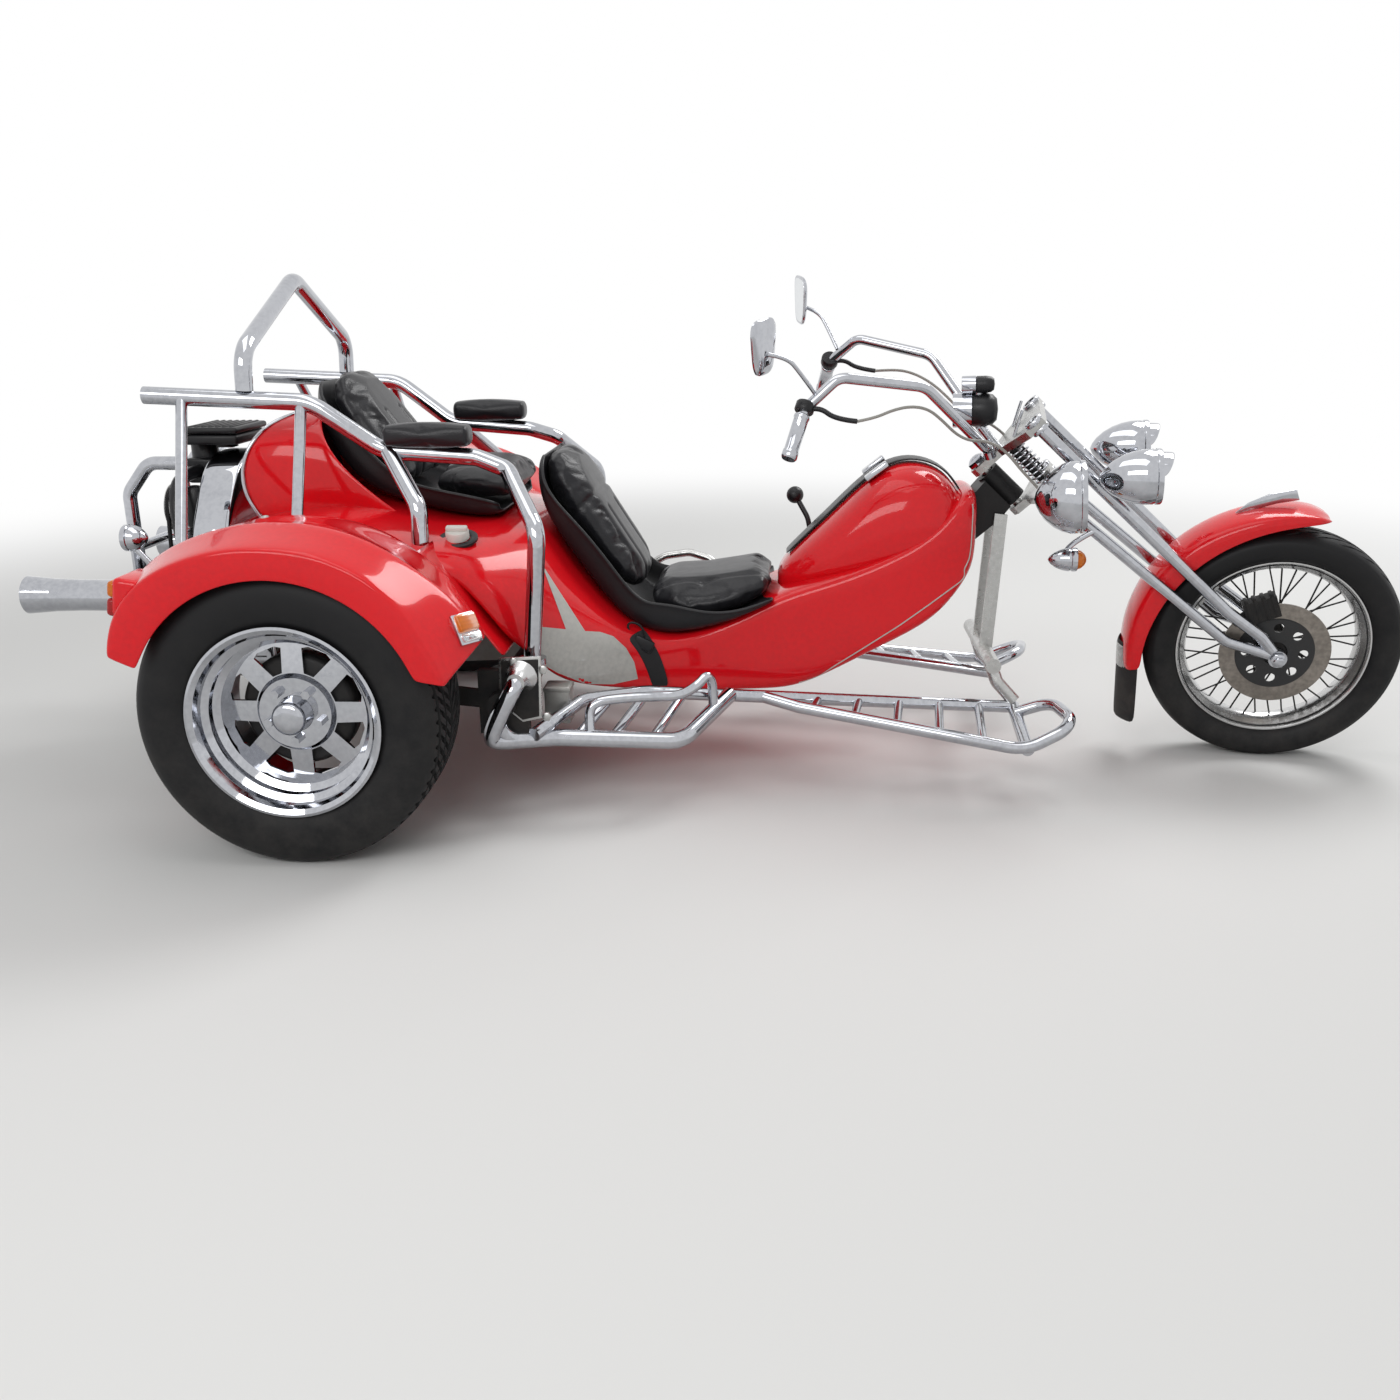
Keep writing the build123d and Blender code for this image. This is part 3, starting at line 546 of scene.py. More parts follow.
def block(size, centre, bevel=0.0, segments=2, turn=Matrix()):
    """A box in millimetres with its edges bevelled."""
    bm = bmesh.new()
    bmesh.ops.create_cube(bm, size=1.0)
    bmesh.ops.scale(bm, vec=Vector(size) * MM, verts=bm.verts)
    if bevel:
        bmesh.ops.bevel(bm, geom=bm.edges[:], offset=bevel * MM, segments=segments, profile=0.5,
                        affect="EDGES", material=-1)
    moved(bm, turn)
    bmesh.ops.translate(bm, vec=centre, verts=bm.verts)
    return bm


def plate(outline, thickness, matrix, bevel=0.0):
    """A flat outline in millimetres, thickened along Z and put in place by a matrix."""
    bm = bmesh.new()
    verts = [bm.verts.new((x * MM, y * MM, 0)) for x, y in outline]
    face = bm.faces.new(verts)
    grown = bmesh.ops.extrude_face_region(bm, geom=[face])["geom"]
    raised = [v for v in grown if isinstance(v, bmesh.types.BMVert)]
    bmesh.ops.translate(bm, vec=(0, 0, thickness * MM), verts=raised)
    if bevel:
        bmesh.ops.bevel(bm, geom=bm.edges[:], offset=bevel * MM, segments=2, profile=0.5,
                        affect="EDGES", material=-1)
    moved(bm, matrix)
    bmesh.ops.recalc_face_normals(bm, faces=bm.faces)
    return bm

# %% [markdown]
# ### From a form to a piece
#
# A piece takes its finish, the slot that goes with it, and the body it rides on. Pieces
# on the fork and the front wheel are turned with them. Walls and rounding are modifiers,
# so that the given points stay few. Wires are curves with a round section.

# %% Pieces and wires
STEERED = ("fork", "front_wheel")


def rounded(made, levels):
    """Lets a piece be shown with smoothly subdivided faces."""
    smooth = made.modifiers.new("smooth", "SUBSURF")
    smooth.levels = smooth.render_levels = levels


def placed(name, data, body, material):
    """Makes mesh or curve data an object with its finish, riding on a body of the trike."""
    data.materials.append(material)
    made = bpy.data.objects.new(name, data)
    bpy.context.scene.collection.objects.link(made)
    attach(made, body)
    print("made", name, "on", body)
    return made


def piece(name, bm, body, material, replaces=(), crease=38, wall=0.0, rounds=0):
    """Makes a piece of the bmesh, with a wall or rounded faces where asked."""
    bmesh.ops.remove_doubles(bm, verts=bm.verts, dist=1e-6)
    if body in STEERED:
        moved(bm, TURN)
    mesh = bpy.data.meshes.new(name)
    bm.to_mesh(mesh)
    bm.free()
    mesh.shade_smooth()
    if not rounds:
        mesh.set_sharp_from_angle(angle=math.radians(crease))
    made = placed(name, mesh, body, material)
    if wall:
        shell = made.modifiers.new("wall", "SOLIDIFY")
        shell.thickness = wall * MM
        shell.offset = -1.0
    if rounds:
        rounded(made, rounds)
    if replaces:
        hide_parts(*replaces)
    return made


def wire(name, routes, diameter, body, material, sides=3, cyclic=False):
    """Round wires or hoses that follow smooth curves through the given points."""
    curve = bpy.data.curves.new(name, "CURVE")
    curve.dimensions = "3D"
    curve.bevel_depth = diameter * MM / 2
    curve.bevel_resolution = sides
    curve.resolution_u = 8
    curve.use_fill_caps = True
    for route in routes:
        spline = curve.splines.new("NURBS")
        spline.points.add(len(route) - 1)
        for point, place in zip(spline.points, route):
            point.co = (*(TURN @ place if body in STEERED else place), 1.0)
        spline.use_cyclic_u = cyclic
        spline.order_u = 3
        spline.use_endpoint_u = not cyclic
    return placed(name, curve, body, material)

# %% [markdown]
# ## CAD pieces that stay
#
# The tubes, fork legs, racks and running gear already have their true shape. They only
# need a finish in place of the grey one they come with.

# %% Finishes for the kept pieces
KEPT = {
    CHROME: ["exhausts", "side_rail_right", "side_rail_left", "roll_hoop", "foot_rack_right",
             "foot_rack_left", "fork_legs", "handlebar", "engine_guard", "rear_rim_right",
             "rear_rim_left"],
    STEEL: ["yokes", "head_struts", "hand_lever"],
    ALLOY: ["gearbox"],
    BLACK_PAINT: ["rear_axle", "torsion_tube", "frame_head", "caliper"],
    PLASTIC: ["gear_lever"],
    DISC: ["brake_disc"],
}
for material, names in KEPT.items():
    for name in names:
        nodes[name].data.materials.clear()
        nodes[name].data.materials.append(material)
print("kept pieces finished:", sum(len(names) for names in KEPT.values()))

# %% [markdown]
# ## The red body
#
# On the real trike the keel, flanks and rear deck are one glass fibre moulding. Rings of
# points across it, from the collar at the head back to the tail, catch how it swells
# from a narrow keel to the wide deck, and a subdivision surface makes it smooth.

# %% Body shell


def oval(half_width, top, edge, bottom, roundness, count=32):
    """Points round a section: widest at the edge height, with a rounded top and bottom."""
    ring = []
    for n in range(count):
        angle = math.tau * n / count
        c, s = math.cos(angle), math.sin(angle)
        reach = math.copysign(abs(c) ** (2 / roundness), c) * half_width
        rise = abs(s) ** (2 / roundness)
        ring.append((reach, edge + ((top if s > 0 else bottom) - edge) * rise))
    return ring


BODY_ROWS = [  # x, half width, top, widest height, bottom, roundness
    (1512, 96, 690, 610, 540, 2.6), (1504, 140, 706, 600, 500, 4.0),
    (1470, 154, 706, 560, 452, 6.5), (1425, 164, 640, 516, 400, 8.5),
    (1368, 171, 590, 480, 358, 9.0), (1278, 175, 545, 430, 312, 9.0),
    (1180, 178, 505, 386, 258, 9.0), (1079, 182, 478, 340, 208, 9.0),
    (1000, 186, 446, 324, 200, 9.0), (915, 192, 398, 300, 200, 8.5), (803, 212, 358, 280, 202, 8.0),
    (745, 228, 357, 280, 206, 7.4), (690, 250, 372, 284, 212, 6.6), (640, 280, 398, 280, 222, 5.4),
    (580, 330, 452, 286, 238, 4.4), (509, 392, 540, 310, 264, 3.4), (470, 428, 604, 350, 302, 3.0),
    (438, 458, 636, 400, 338, 2.7), (403, 486, 646, 440, 366, 2.6), (378, 504, 648, 480, 404, 2.5),
    (348, 518, 650, 520, 458, 2.4), (305, 528, 653, 566, 528, 2.3), (259, 534, 655, 586, 566, 2.3),
    (180, 538, 664, 594, 584, 2.3), (60, 540, 694, 600, 588, 2.3), (-60, 540, 702, 600, 588, 2.3),
    (-160, 540, 688, 600, 586, 2.3), (-260, 540, 664, 594, 580, 2.3),
    (-322, 536, 632, 590, 572, 2.6), (-334, 520, 612, 590, 574, 3.0)]


sections = [[at(x, y, z) for y, z in oval(*section)] for x, *section in BODY_ROWS]
body = piece("body_shell", lofted(sections), "frame", RED, ["rear_body", "front_body"], rounds=2)
print("body shell faces before smoothing:", len(body.data.polygons))

# %% [markdown]
# ## Rear fenders
#
# Each fender is a flared arch over a wide tyre: a nearly upright outer lip, a crease,
# and a crowned top that runs in to the deck. Its profile is swept about the wheel's
# axle, with radii that change along the way, and given a moulded edge.

# %% Fender shells
REAR_END = 157             # angle of the fender's rear edge, from straight ahead
CREASE = [
    (14, 370), (32, 365), (50, 377), (70, 376), (90, 371), (112, 382), (130, 397), (144, 398),
    (157, 374), (160, 366)]
SHOULDER = [
    (14, 438), (21, 438), (32, 425), (50, 406), (70, 403), (90, 399), (112, 408), (130, 425),
    (144, 424), (157, 398), (160, 380)]
CROWN = [
    (14, 424), (26, 416), (34, 405), (50, 398), (70, 401), (90, 398), (112, 406), (130, 428),
    (144, 426), (157, 388), (160, 372)]
FENDER_GUIDES = [  # distance out, share of crease, shoulder and crown, offset, front end's angle
    (866, 0, 0, 0, 308, 19.5), (869, 0, 0, 0, 314, 18.6), (870, 0.5, 0, 0, 156, 16.4),
    (869, 1, 0, 0, -9, 14.8), (866, 1, 0, 0, -2, 14.6), (859, 1, 0, 0, 2, 14.9),
    (836, 0.8, 0.2, 0, 3, 16.6), (790, 0.4, 0.6, 0, 4, 18.9), (752, 0.08, 0.92, 0, 7, 20.9),
    (742, 0.03, 0.97, 0, 6, 21.1), (730, 0, 1, 0, 2, 20.9), (700, 0, 1, 0, -2, 20.5),
    (660, 0, 0.5, 0.5, -1, 26.3), (620, 0, 0, 1, 0, 33.4), (585, 0, 0, 1, -4, 39.4),
    (550, 0, 0, 1, -16, 45.2), (515, 0, 0, 1, -44, 48), (505, 0, 0, 1, -62, 49)]
FENDER_STEPS = 16


def read_at(table, value):
    """Reads a table's second column at a value of its first, between the rows."""
    for (v0, r0), (v1, r1) in zip(table, table[1:]):
        if v0 <= value <= v1:
            return r0 + (r1 - r0) * (value - v0) / (v1 - v0)
    return table[-1][1] if value > table[-1][0] else table[0][1]


def fender_row(share, side):
    """One row of points across the fender, at a share of the way from its rear to its front."""
    row = []
    for y, crease, shoulder, crown, offset, front_end in FENDER_GUIDES:
        angle = REAR_END + (front_end - REAR_END) * share
        radius = (crease * read_at(CREASE, angle) + shoulder * read_at(SHOULDER, angle)
                  + crown * read_at(CROWN, angle) + offset)
        turn = math.radians(angle)
        row.append(at(radius * math.cos(turn), side * y, REAR_AXLE_Z + radius * math.sin(turn)))
    return row


fenders = {}
for side, word in SIDES.items():
    rows = [fender_row(n / FENDER_STEPS, side) for n in range(FENDER_STEPS + 1)]
    fenders[side] = piece(f"fender_{word}", upward(lofted(rows, ring=False)), "frame", RED,
                          [f"rear_fender_{word}"], wall=7, rounds=2)

# %% [markdown]
# ### Wheel houses
#
# Seen past the tyre, the fender's front goes on as a wall in to the body. A strip of
# points about the axle, from the fender's edge to inside the body, is enough for it.

# %% Front walls of the wheel houses
HOUSE_WALL = [  # angle, radius, outer edge; the inner edge is buried in the body
    (9, 412, 552), (14, 397, 556), (19, 387, 562), (25, 381, 580), (32, 383, 620), (42, 386, 640),
    (54, 386, 640)]
HOUSE_INNER = 400
house_rows = []
for angle, radius, outer in HOUSE_WALL:
    turn = math.radians(angle)
    x, z = radius * math.cos(turn), REAR_AXLE_Z + radius * math.sin(turn)
    house_rows.append([at(x, -(HOUSE_INNER + (outer - HOUSE_INNER) * n / 4), z) for n in range(5)])
piece("wheel_house_walls", both_sides(lofted(house_rows, ring=False)), "frame", RED, wall=4,
      rounds=1)

# %% [markdown]
# ## Seat pod
#
# Behind the passenger a rounded hood closes the body and opens to the rear, where the
# engine's fan looks out. It is an arch across the trike, drawn forward to the seat, with
# a bright bead on its rear lip.

# %% Pod
POD_ARCH = [  # half width, height up the arch
    (262, 640), (268, 690), (270, 745), (266, 800), (250, 848), (214, 882), (150, 900), (75, 908)]
POD_LIP = [
    (640, -226), (690, -259), (745, -272), (800, -264), (848, -238), (882, -205), (900, -160),
    (908, -147), (912, -140)]
POD_FRONT = [
    (640, 150), (664, 118), (720, 40), (785, -28), (848, -68), (882, -84), (900, -97), (908, -104),
    (912, -106)]


def pod_arch(share):
    """The arch at a share of the way from the pod's rear lip to its front."""
    swell = 1.0 + 0.03 * math.sin(math.pi * share)
    arch = []
    for y, z in mirrored([(-y, z) for y, z in POD_ARCH], (0, 912)):
        rear, front = read_at(POD_LIP, z), read_at(POD_FRONT, z)
        arch.append(at(rear + (front - rear) * share, y * swell, z))
    return arch


pod_bm = upward(lofted([pod_arch(n / 5) for n in range(6)], ring=False))
piece("pod_shell", pod_bm, "frame", RED, ["seat_pod"], wall=6, rounds=2)
wire("pod_bead", [pod_arch(0.0)], 9, "frame", CHROME)
BACK_DEPTH = 55            # of the dark panel that closes the pod behind the passenger
back_rows = []
for half_width, z in [(262, 600)] + POD_ARCH:
    x = min(read_at(POD_LIP, z) + BACK_DEPTH, read_at(POD_FRONT, z) - 12)
    back_rows.append([at(x, half_width * share, z) for share in (-0.99, -0.5, 0, 0.5, 0.99)])
piece("pod_back", lofted(back_rows, ring=False), "frame", BLACK_PAINT, wall=4)

# %% [markdown]
# ## Fuel tank
#
# A teardrop tank lies on the keel. Its rings are rounder and taller toward the front,
# and a black strip with two chrome filler plates runs over its back.

# %% Tank
TANK_ROWS = [  # x, bottom, top, half width
    (1018, 446, 476, 40), (1026, 436, 502, 72), (1048, 436, 532, 96), (1100, 444, 584, 124),
    (1150, 450, 632, 142), (1210, 458, 694, 156), (1268, 466, 744, 164), (1330, 476, 770, 167),
    (1396, 492, 762, 163), (1440, 524, 734, 148), (1468, 560, 696, 118), (1482, 600, 654, 66)]


def tank_ring(x, low, high, half_width):
    middle = low + (high - low) * 0.46
    return [at(x, y, z) for y, z in oval(half_width, high, middle, low, 2.5, 20)]


piece("tank_shell", lofted([tank_ring(*row) for row in TANK_ROWS]), "frame", RED, ["fuel_tank"],
      rounds=2)

STRIP = [(1040, 528), (1100, 588), (1150, 637), (1210, 699), (1268, 749), (1330, 775), (1396, 767),
         (1442, 738), (1474, 692)]
strip_bm = lofted([[at(x, y, z - abs(y) * 0.06) for y in (-38, -30, 0, 30, 38)] for x, z in STRIP],
                  ring=False)
piece("tank_strip", strip_bm, "frame", PLASTIC, wall=-5, rounds=2)
for side, word in SIDES.items():
    cap_bm = block((66, 34, 14), at(1262, side * 58, 744), 4, turn=about("Y", -38))
    piece(f"tank_cap_{word}", cap_bm, "frame", CHROME)

# %% [markdown]
# ## Seats
#
# Both seats are black moulded buckets with loose leather pads. A bucket is an open
# section, swept from the head of the back down and forward under the rider, and its rim
# rises and falls on the way.

# %% Seat buckets
DRIVER_BUCKET = [  # x, z of the underside, direction it faces in degrees, half width, rim height
    (431, 792, -52, 120, 6), (426, 762, -24, 168, 26), (433, 700, -12, 196, 38),
    (456, 634, -24, 206, 54), (503, 566, -37, 212, 66), (560, 486, -38, 216, 70),
    (612, 420, -38, 220, 66), (662, 376, -24, 223, 72), (714, 354, -8, 224, 86),
    (780, 354, 6, 224, 80), (850, 372, 14, 224, 44), (930, 400, 22, 218, 16),
    (1014, 440, 24, 204, 8)]
PASSENGER_BUCKET = [
    (-124, 970, -60, 90, 4), (-116, 926, -18, 150, 24), (-100, 872, -30, 196, 50),
    (-58, 796, -44, 222, 74), (0, 732, -44, 234, 80), (56, 704, -36, 238, 64),
    (120, 685, -16, 240, 51), (200, 666, -4, 240, 52), (280, 650, 2, 238, 54),
    (330, 654, 6, 228, 36), (348, 662, 24, 200, 18)]


def seat_up(faces):
    """The way a seat's surface faces, from its angle to level in degrees."""
    return Vector((-math.sin(math.radians(faces)), 0, math.cos(math.radians(faces))))


def bucket_section(x, z, faces, half_width, rim):
    """An open U across the seat; faces is the angle of the seat's surface from level."""
    half = [(-1.03, 1.0), (-1.01, 0.94), (-1.0, 0.5), (-0.95, 0.12), (-0.8, 0.02), (-0.4, 0.0)]
    return [at(x, 0, z) + seat_up(faces) * (h * rim * MM) + Vector((0, y * half_width * MM, 0))
            for y, h in mirrored(half, (0.0, 0.0))]


def bucket(name, table, node_name):
    shell = upward(lofted([bucket_section(*row) for row in table], ring=False), highest=False)
    piece(name, shell, "frame", PLASTIC, [node_name], wall=-9, rounds=2)


bucket("driver_bucket", DRIVER_BUCKET, "driver_seat_shell")
bucket("passenger_bucket", PASSENGER_BUCKET, "passenger_seat_shell")

# %% [markdown]
# ### Pads
#
# A pad is a stuffed leather bag. It starts as a slim lofted form, is inflated by a short
# cloth simulation, and then gets its sewn channels by pulling the surface in along the
# seams.

# %% Sections of the pads
DRIVER_BACK = [  # x, z of the middle, direction it faces, half width, half thickness
    (452, 800, -60, 70, 10), (458, 786, -50, 112, 30), (474, 752, -46, 146, 38),
    (504, 702, -40, 158, 40), (548, 634, -36, 162, 38), (596, 562, -34, 160, 36),
    (640, 500, -36, 150, 32), (668, 466, -40, 120, 22), (680, 452, -42, 70, 8)]
DRIVER_SEAT = [
    (690, 436, 4, 90, 10), (704, 432, 4, 140, 30), (760, 430, 6, 172, 42), (840, 432, 6, 180, 44),
    (920, 450, 8, 178, 38), (985, 474, 12, 160, 26), (1008, 482, 14, 120, 10)]
PASSENGER_BACK = [
    (-74, 990, -66, 60, 8), (-70, 978, -60, 110, 24), (-56, 940, -56, 142, 34),
    (-24, 892, -52, 156, 36), (20, 836, -50, 164, 34), (66, 782, -48, 168, 30),
    (104, 744, -44, 160, 20), (118, 732, -42, 110, 8)]
PASSENGER_SEAT = [
    (162, 726, 0, 120, 8), (174, 728, 0, 168, 24), (230, 731, 0, 196, 31), (300, 730, 0, 204, 30),
    (350, 724, 4, 196, 25), (376, 718, 8, 150, 8)]
ARM_PAD = [
    (106, 862, 0, 22, 12), (112, 862, 0, 33, 24), (150, 862, 0, 35, 27), (207, 862, 0, 35, 27),
    (264, 862, 0, 35, 27), (302, 862, 0, 33, 24), (308, 862, 0, 22, 12)]
print("sections of the driver's back pad:", len(DRIVER_BACK))

# %% Stuffing
BULGE_LIMIT, CLOTH_FRAMES = 0.012, 16


def pad_form(table, y=0.0, squareness=3.2):
    """A closed stuffed form: flat ovals across the trike, lofted along the seat."""
    rings = []
    for x, z, faces, half_width, half_thick in table:
        flat = oval(half_width, half_thick, 0, -half_thick, squareness, 28)
        rings.append([at(x, y, z) + Vector((0, a * MM, 0)) + seat_up(faces) * (b * MM)
                      for a, b in flat])
    return lofted(rings)


def shown_mesh(pad):
    """A new mesh of the pad as its modifiers show it."""
    depsgraph = bpy.context.evaluated_depsgraph_get()
    return bpy.data.meshes.new_from_object(pad.evaluated_get(depsgraph))


def inflate(pad):
    """Fills the leather bag with a short pressure simulation and keeps the result."""
    cloth = pad.modifiers.new("stuffing", "CLOTH")
    cloth.settings.use_pressure = True
    cloth.settings.uniform_pressure_force = 4.0
    cloth.settings.effector_weights.gravity = 0.0
    cloth.settings.tension_stiffness = cloth.settings.compression_stiffness = 22.0
    cloth.point_cache.frame_start = 1
    cloth.point_cache.frame_end = CLOTH_FRAMES
    for frame_number in range(1, CLOTH_FRAMES + 1):
        bpy.context.scene.frame_set(frame_number)
    swollen = shown_mesh(pad)
    steps = [new.co - old.co for old, new in zip(pad.data.vertices, swollen.vertices)]
    pad.modifiers.remove(cloth)
    bpy.data.meshes.remove(swollen)
    bpy.context.scene.frame_set(1)
    for vert, step in zip(pad.data.vertices, steps):
        if step.length > BULGE_LIMIT:
            step = step.normalized() * BULGE_LIMIT
        vert.co += step


def remesh(pad, voxel):
    """Gives the pad an even skin of small faces, which cloth and seams both need."""
    modifier = pad.modifiers.new("even skin", "REMESH")
    modifier.mode = "VOXEL"
    modifier.voxel_size = voxel
    even = shown_mesh(pad)
    pad.modifiers.remove(modifier)
    even.materials.clear()
    even.materials.append(pad.data.materials[0])
    old = pad.data
    pad.data = even
    bpy.data.meshes.remove(old)
    pad.data.shade_smooth()

# %% Sewing
SEAM_DEPTH, SEAM_WIDTH = 0.006, 0.007


def sew(pad, seams):
    """Pulls the skin in along seams; a seam is a function giving the distance to its line."""
    pad.data.update()
    normals = [v.normal.copy() for v in pad.data.vertices]
    for vert, normal in zip(pad.data.vertices, normals):
        pull = sum(math.exp(-(seam(vert.co) / SEAM_WIDTH) ** 2) for seam in seams)
        vert.co -= normal * SEAM_DEPTH * min(pull, 1.0)
    pad.data.update()


def across(x, z):
    """A seam right across a pad, through the place (x, z) on its face, in millimetres."""
    spot = at(x, 0, z)

    def distance(place):
        return abs((place - spot).dot(Vector((0.64, 0, -0.77))))
    return distance


def lengthwise(offset, until):
    """A seam down a pad, at an offset from its middle, that stops short of a height."""
    def distance(place):
        past = max(0.0, place.z - until * MM)
        return abs(abs(place.y) - offset * MM) + past * 4
    return distance

# %% The six pads
ARM_Y = 330


def stuffed(name, table, node_names, seams, y=0.0, voxel=0.007, squareness=3.2):
    form = pad_form(table, y, squareness)
    bmesh.ops.subdivide_edges(form, edges=form.edges, cuts=1, use_grid_fill=True)
    pad = piece(name, form, "frame", LEATHER, node_names)
    remesh(pad, voxel)
    inflate(pad)
    sew(pad, seams)
    rounded(pad, 1)
    print(name, "skin faces:", len(pad.data.polygons))
    return pad


stuffed("driver_back_cushion", DRIVER_BACK, ["driver_back_pad"],
        [across(566, 698), lengthwise(60, 660), lengthwise(112, 660)])
stuffed("driver_seat_cushion", DRIVER_SEAT, ["driver_cushion"], [lengthwise(118, 2000)])
stuffed("passenger_back_cushion", PASSENGER_BACK, ["passenger_back_pad"],
        [lengthwise(60, 900), lengthwise(112, 900)])
stuffed("passenger_seat_cushion", PASSENGER_SEAT, ["passenger_cushion"], [lengthwise(130, 2000)])
for side, word in SIDES.items():
    stuffed(f"arm_pad_{word}", ARM_PAD, ["arm_rests"] if side == RIGHT else [], [],
            y=side * ARM_Y, voxel=0.005, squareness=4.0)

# %% [markdown]
# ## Rear tyres
#
# The tread is cut, not painted: the profile is spun about the axle, single faces of the
# tread are pushed in as lateral grooves, and the whole tread is sheared a little so that
# the grooves lean, as on a road tyre.

# %% Tyres
# each half profile runs from the bead out over the wall to the middle of the tread
REAR_TYRE = mirrored([  # radius, distance from the middle
    (193, -97), (206, -108), (222, -117), (248, -122), (276, -121), (296, -115), (308, -109),
    (318, -98), (321.5, -90), (316.5, -88), (316.5, -80), (323, -78), (325.5, -50), (318, -48),
    (318, -41), (325.6, -39), (326.2, -8), (319, -6)], across=1)
FRONT_TYRE = mirrored([
    (221, -37), (231.5, -38), (236, -47), (246, -55), (262, -61), (276, -62), (287, -59.5),
    (296, -52), (302, -42), (306, -30), (307.5, -17), (308.3, -5), (305, -4)], across=1)
GROOVE_LIP, TREAD_FADE = 0.0012, 14


def tyre(profile, steps, tread_from, groove_depth, every, lean):
    """A tyre about Z with lateral grooves in its tread, and the tread sheared by lean."""
    bm = spun(profile, steps=steps, closed=True)
    bm.faces.ensure_lookup_table()
    grooves = []
    for face in bm.faces:
        middle = face.calc_center_median()
        radius = math.hypot(middle.x, middle.y) / MM
        step = int((math.atan2(middle.y, middle.x) % math.tau) / math.tau * steps)
        shift = 1 if middle.z > 0 else 0
        if radius > tread_from and (step + shift) % every == 0 and abs(face.normal.z) < 0.8:
            grooves.append(face)
    bmesh.ops.inset_individual(bm, faces=grooves, thickness=GROOVE_LIP, depth=0.0,
                               use_even_offset=True)
    for face in grooves:
        bmesh.ops.translate(bm, vec=-face.normal * groove_depth * MM, verts=face.verts)
    for vert in bm.verts:
        radius = math.hypot(vert.co.x, vert.co.y) / MM
        share = min(1.0, max(0.0, (radius - tread_from + TREAD_FADE) / TREAD_FADE))
        turn = lean * share * abs(vert.co.z)
        vert.co = Matrix.Rotation(turn, 3, "Z") @ vert.co
    bmesh.ops.recalc_face_normals(bm, faces=bm.faces)
    return bm


for side, word in SIDES.items():
    bm = tyre(REAR_TYRE, 144, 317.0, 5.5, 2, 2.2)
    moved(bm, facing(at(0, side * REAR_WHEEL_Y, REAR_AXLE_Z), (0, side, 0)))
    piece(f"road_tyre_{word}", bm, f"rear_wheel_{word}", TYRE, [f"rear_tyre_{word}"], crease=30)
front_bm = moved(tyre(FRONT_TYRE, 120, 300.0, 4.0, 4, 9.0), facing(at(*FRONT_AXLE), (0, -1, 0)))
piece("road_tyre_front", front_bm, "front_wheel", TYRE, ["front_tyre"], crease=30)

# %% Rear hubs
DRUM = [(0, -34), (116, -34), (122, -30), (124, -24), (124, 8), (121, 13), (112, 19), (60, 20),
        (0, 20)]
HUB_CAP = [(0, 18), (39.5, 18), (39.5, 45), (37, 49), (37, 80), (35, 86), (30, 91), (18, 93.5),
           (0, 94)]
for side, word in SIDES.items():
    middle = at(0, side * REAR_WHEEL_Y, REAR_AXLE_Z)
    piece(f"brake_drum_{word}", spun(DRUM, middle, (0, side, 0)), f"rear_wheel_{word}",
          BLACK_PAINT, [f"rear_hub_{word}"])
    piece(f"hub_cap_{word}", spun(HUB_CAP, middle, (0, side, 0), 48), f"rear_wheel_{word}", CHROME)

# %% [markdown]
# ## Front fender
#
# The front fender hugs the tyre and ends in a blunt rounded tip. Its profile across is
# swept about the front axle, and the skirts shrink to nothing at the tip.

# %% Front fender
SKIRT_ROWS = [  # angle from straight ahead, crown radius, skirt radius, half width
    (76, 350, 347, 40), (79, 357, 343, 62), (84, 363, 336, 72), (94, 365, 326, 76),
    (108, 366, 316, 77), (124, 366, 309, 77), (140, 366, 306, 77), (156, 366, 306, 77),
    (172, 365, 312, 77), (184, 364, 318, 76), (192, 364, 322, 74)]


def fender_ring(angle, crown, skirt, half_width):
    """A section across the fender: up one skirt, over the crown and down the other."""
    c, s = math.cos(math.radians(angle)), math.sin(math.radians(angle))
    drop = crown - skirt
    half = [(skirt, -1.0), (skirt + drop * 0.5, -1.0), (crown - drop * 0.18, -0.9),
            (crown - 3, -0.62), (crown, -0.3)]
    x, _, z = FRONT_AXLE
    return [at(x + r * c, w * half_width, z + r * s)
            for r, w in mirrored(half, (crown + 1, 0), across=1)]


front_shell = upward(lofted([fender_ring(*row) for row in SKIRT_ROWS], ring=False))
piece("front_fender_shell", front_shell, "fork", RED, ["front_fender"], wall=5, rounds=2)

# %% [markdown]
# ## Engine
#
# Under the pod sits an air cooled engine, open to the rear. A bright shroud stands over
# it and carries the generator, whose belt runs down to the crank pulley. Two finned
# cylinders lie on each side, under plain bright covers.

# %% Shroud, generator and belt
SHROUD_HALF = [  # across, height
    (-252, 462), (-258, 520), (-262, 572), (-232, 640), (-186, 700), (-150, 752), (-90, 788)]
SHROUD_ROWS = [(-331, 0.93), (-337, 0.985), (-352, 1.0), (-412, 1.0), (-428, 0.985), (-434, 0.93)]
SHROUD_MIDDLE = 620


def shroud_ring(x, scale):
    return [at(x, y * scale, SHROUD_MIDDLE + (z - SHROUD_MIDDLE) * scale)
            for y, z in mirrored(SHROUD_HALF, (0, 800))]


piece("shroud", lofted([shroud_ring(*row) for row in SHROUD_ROWS]), "frame", CHROME,
      ["fan_shroud"], rounds=2)

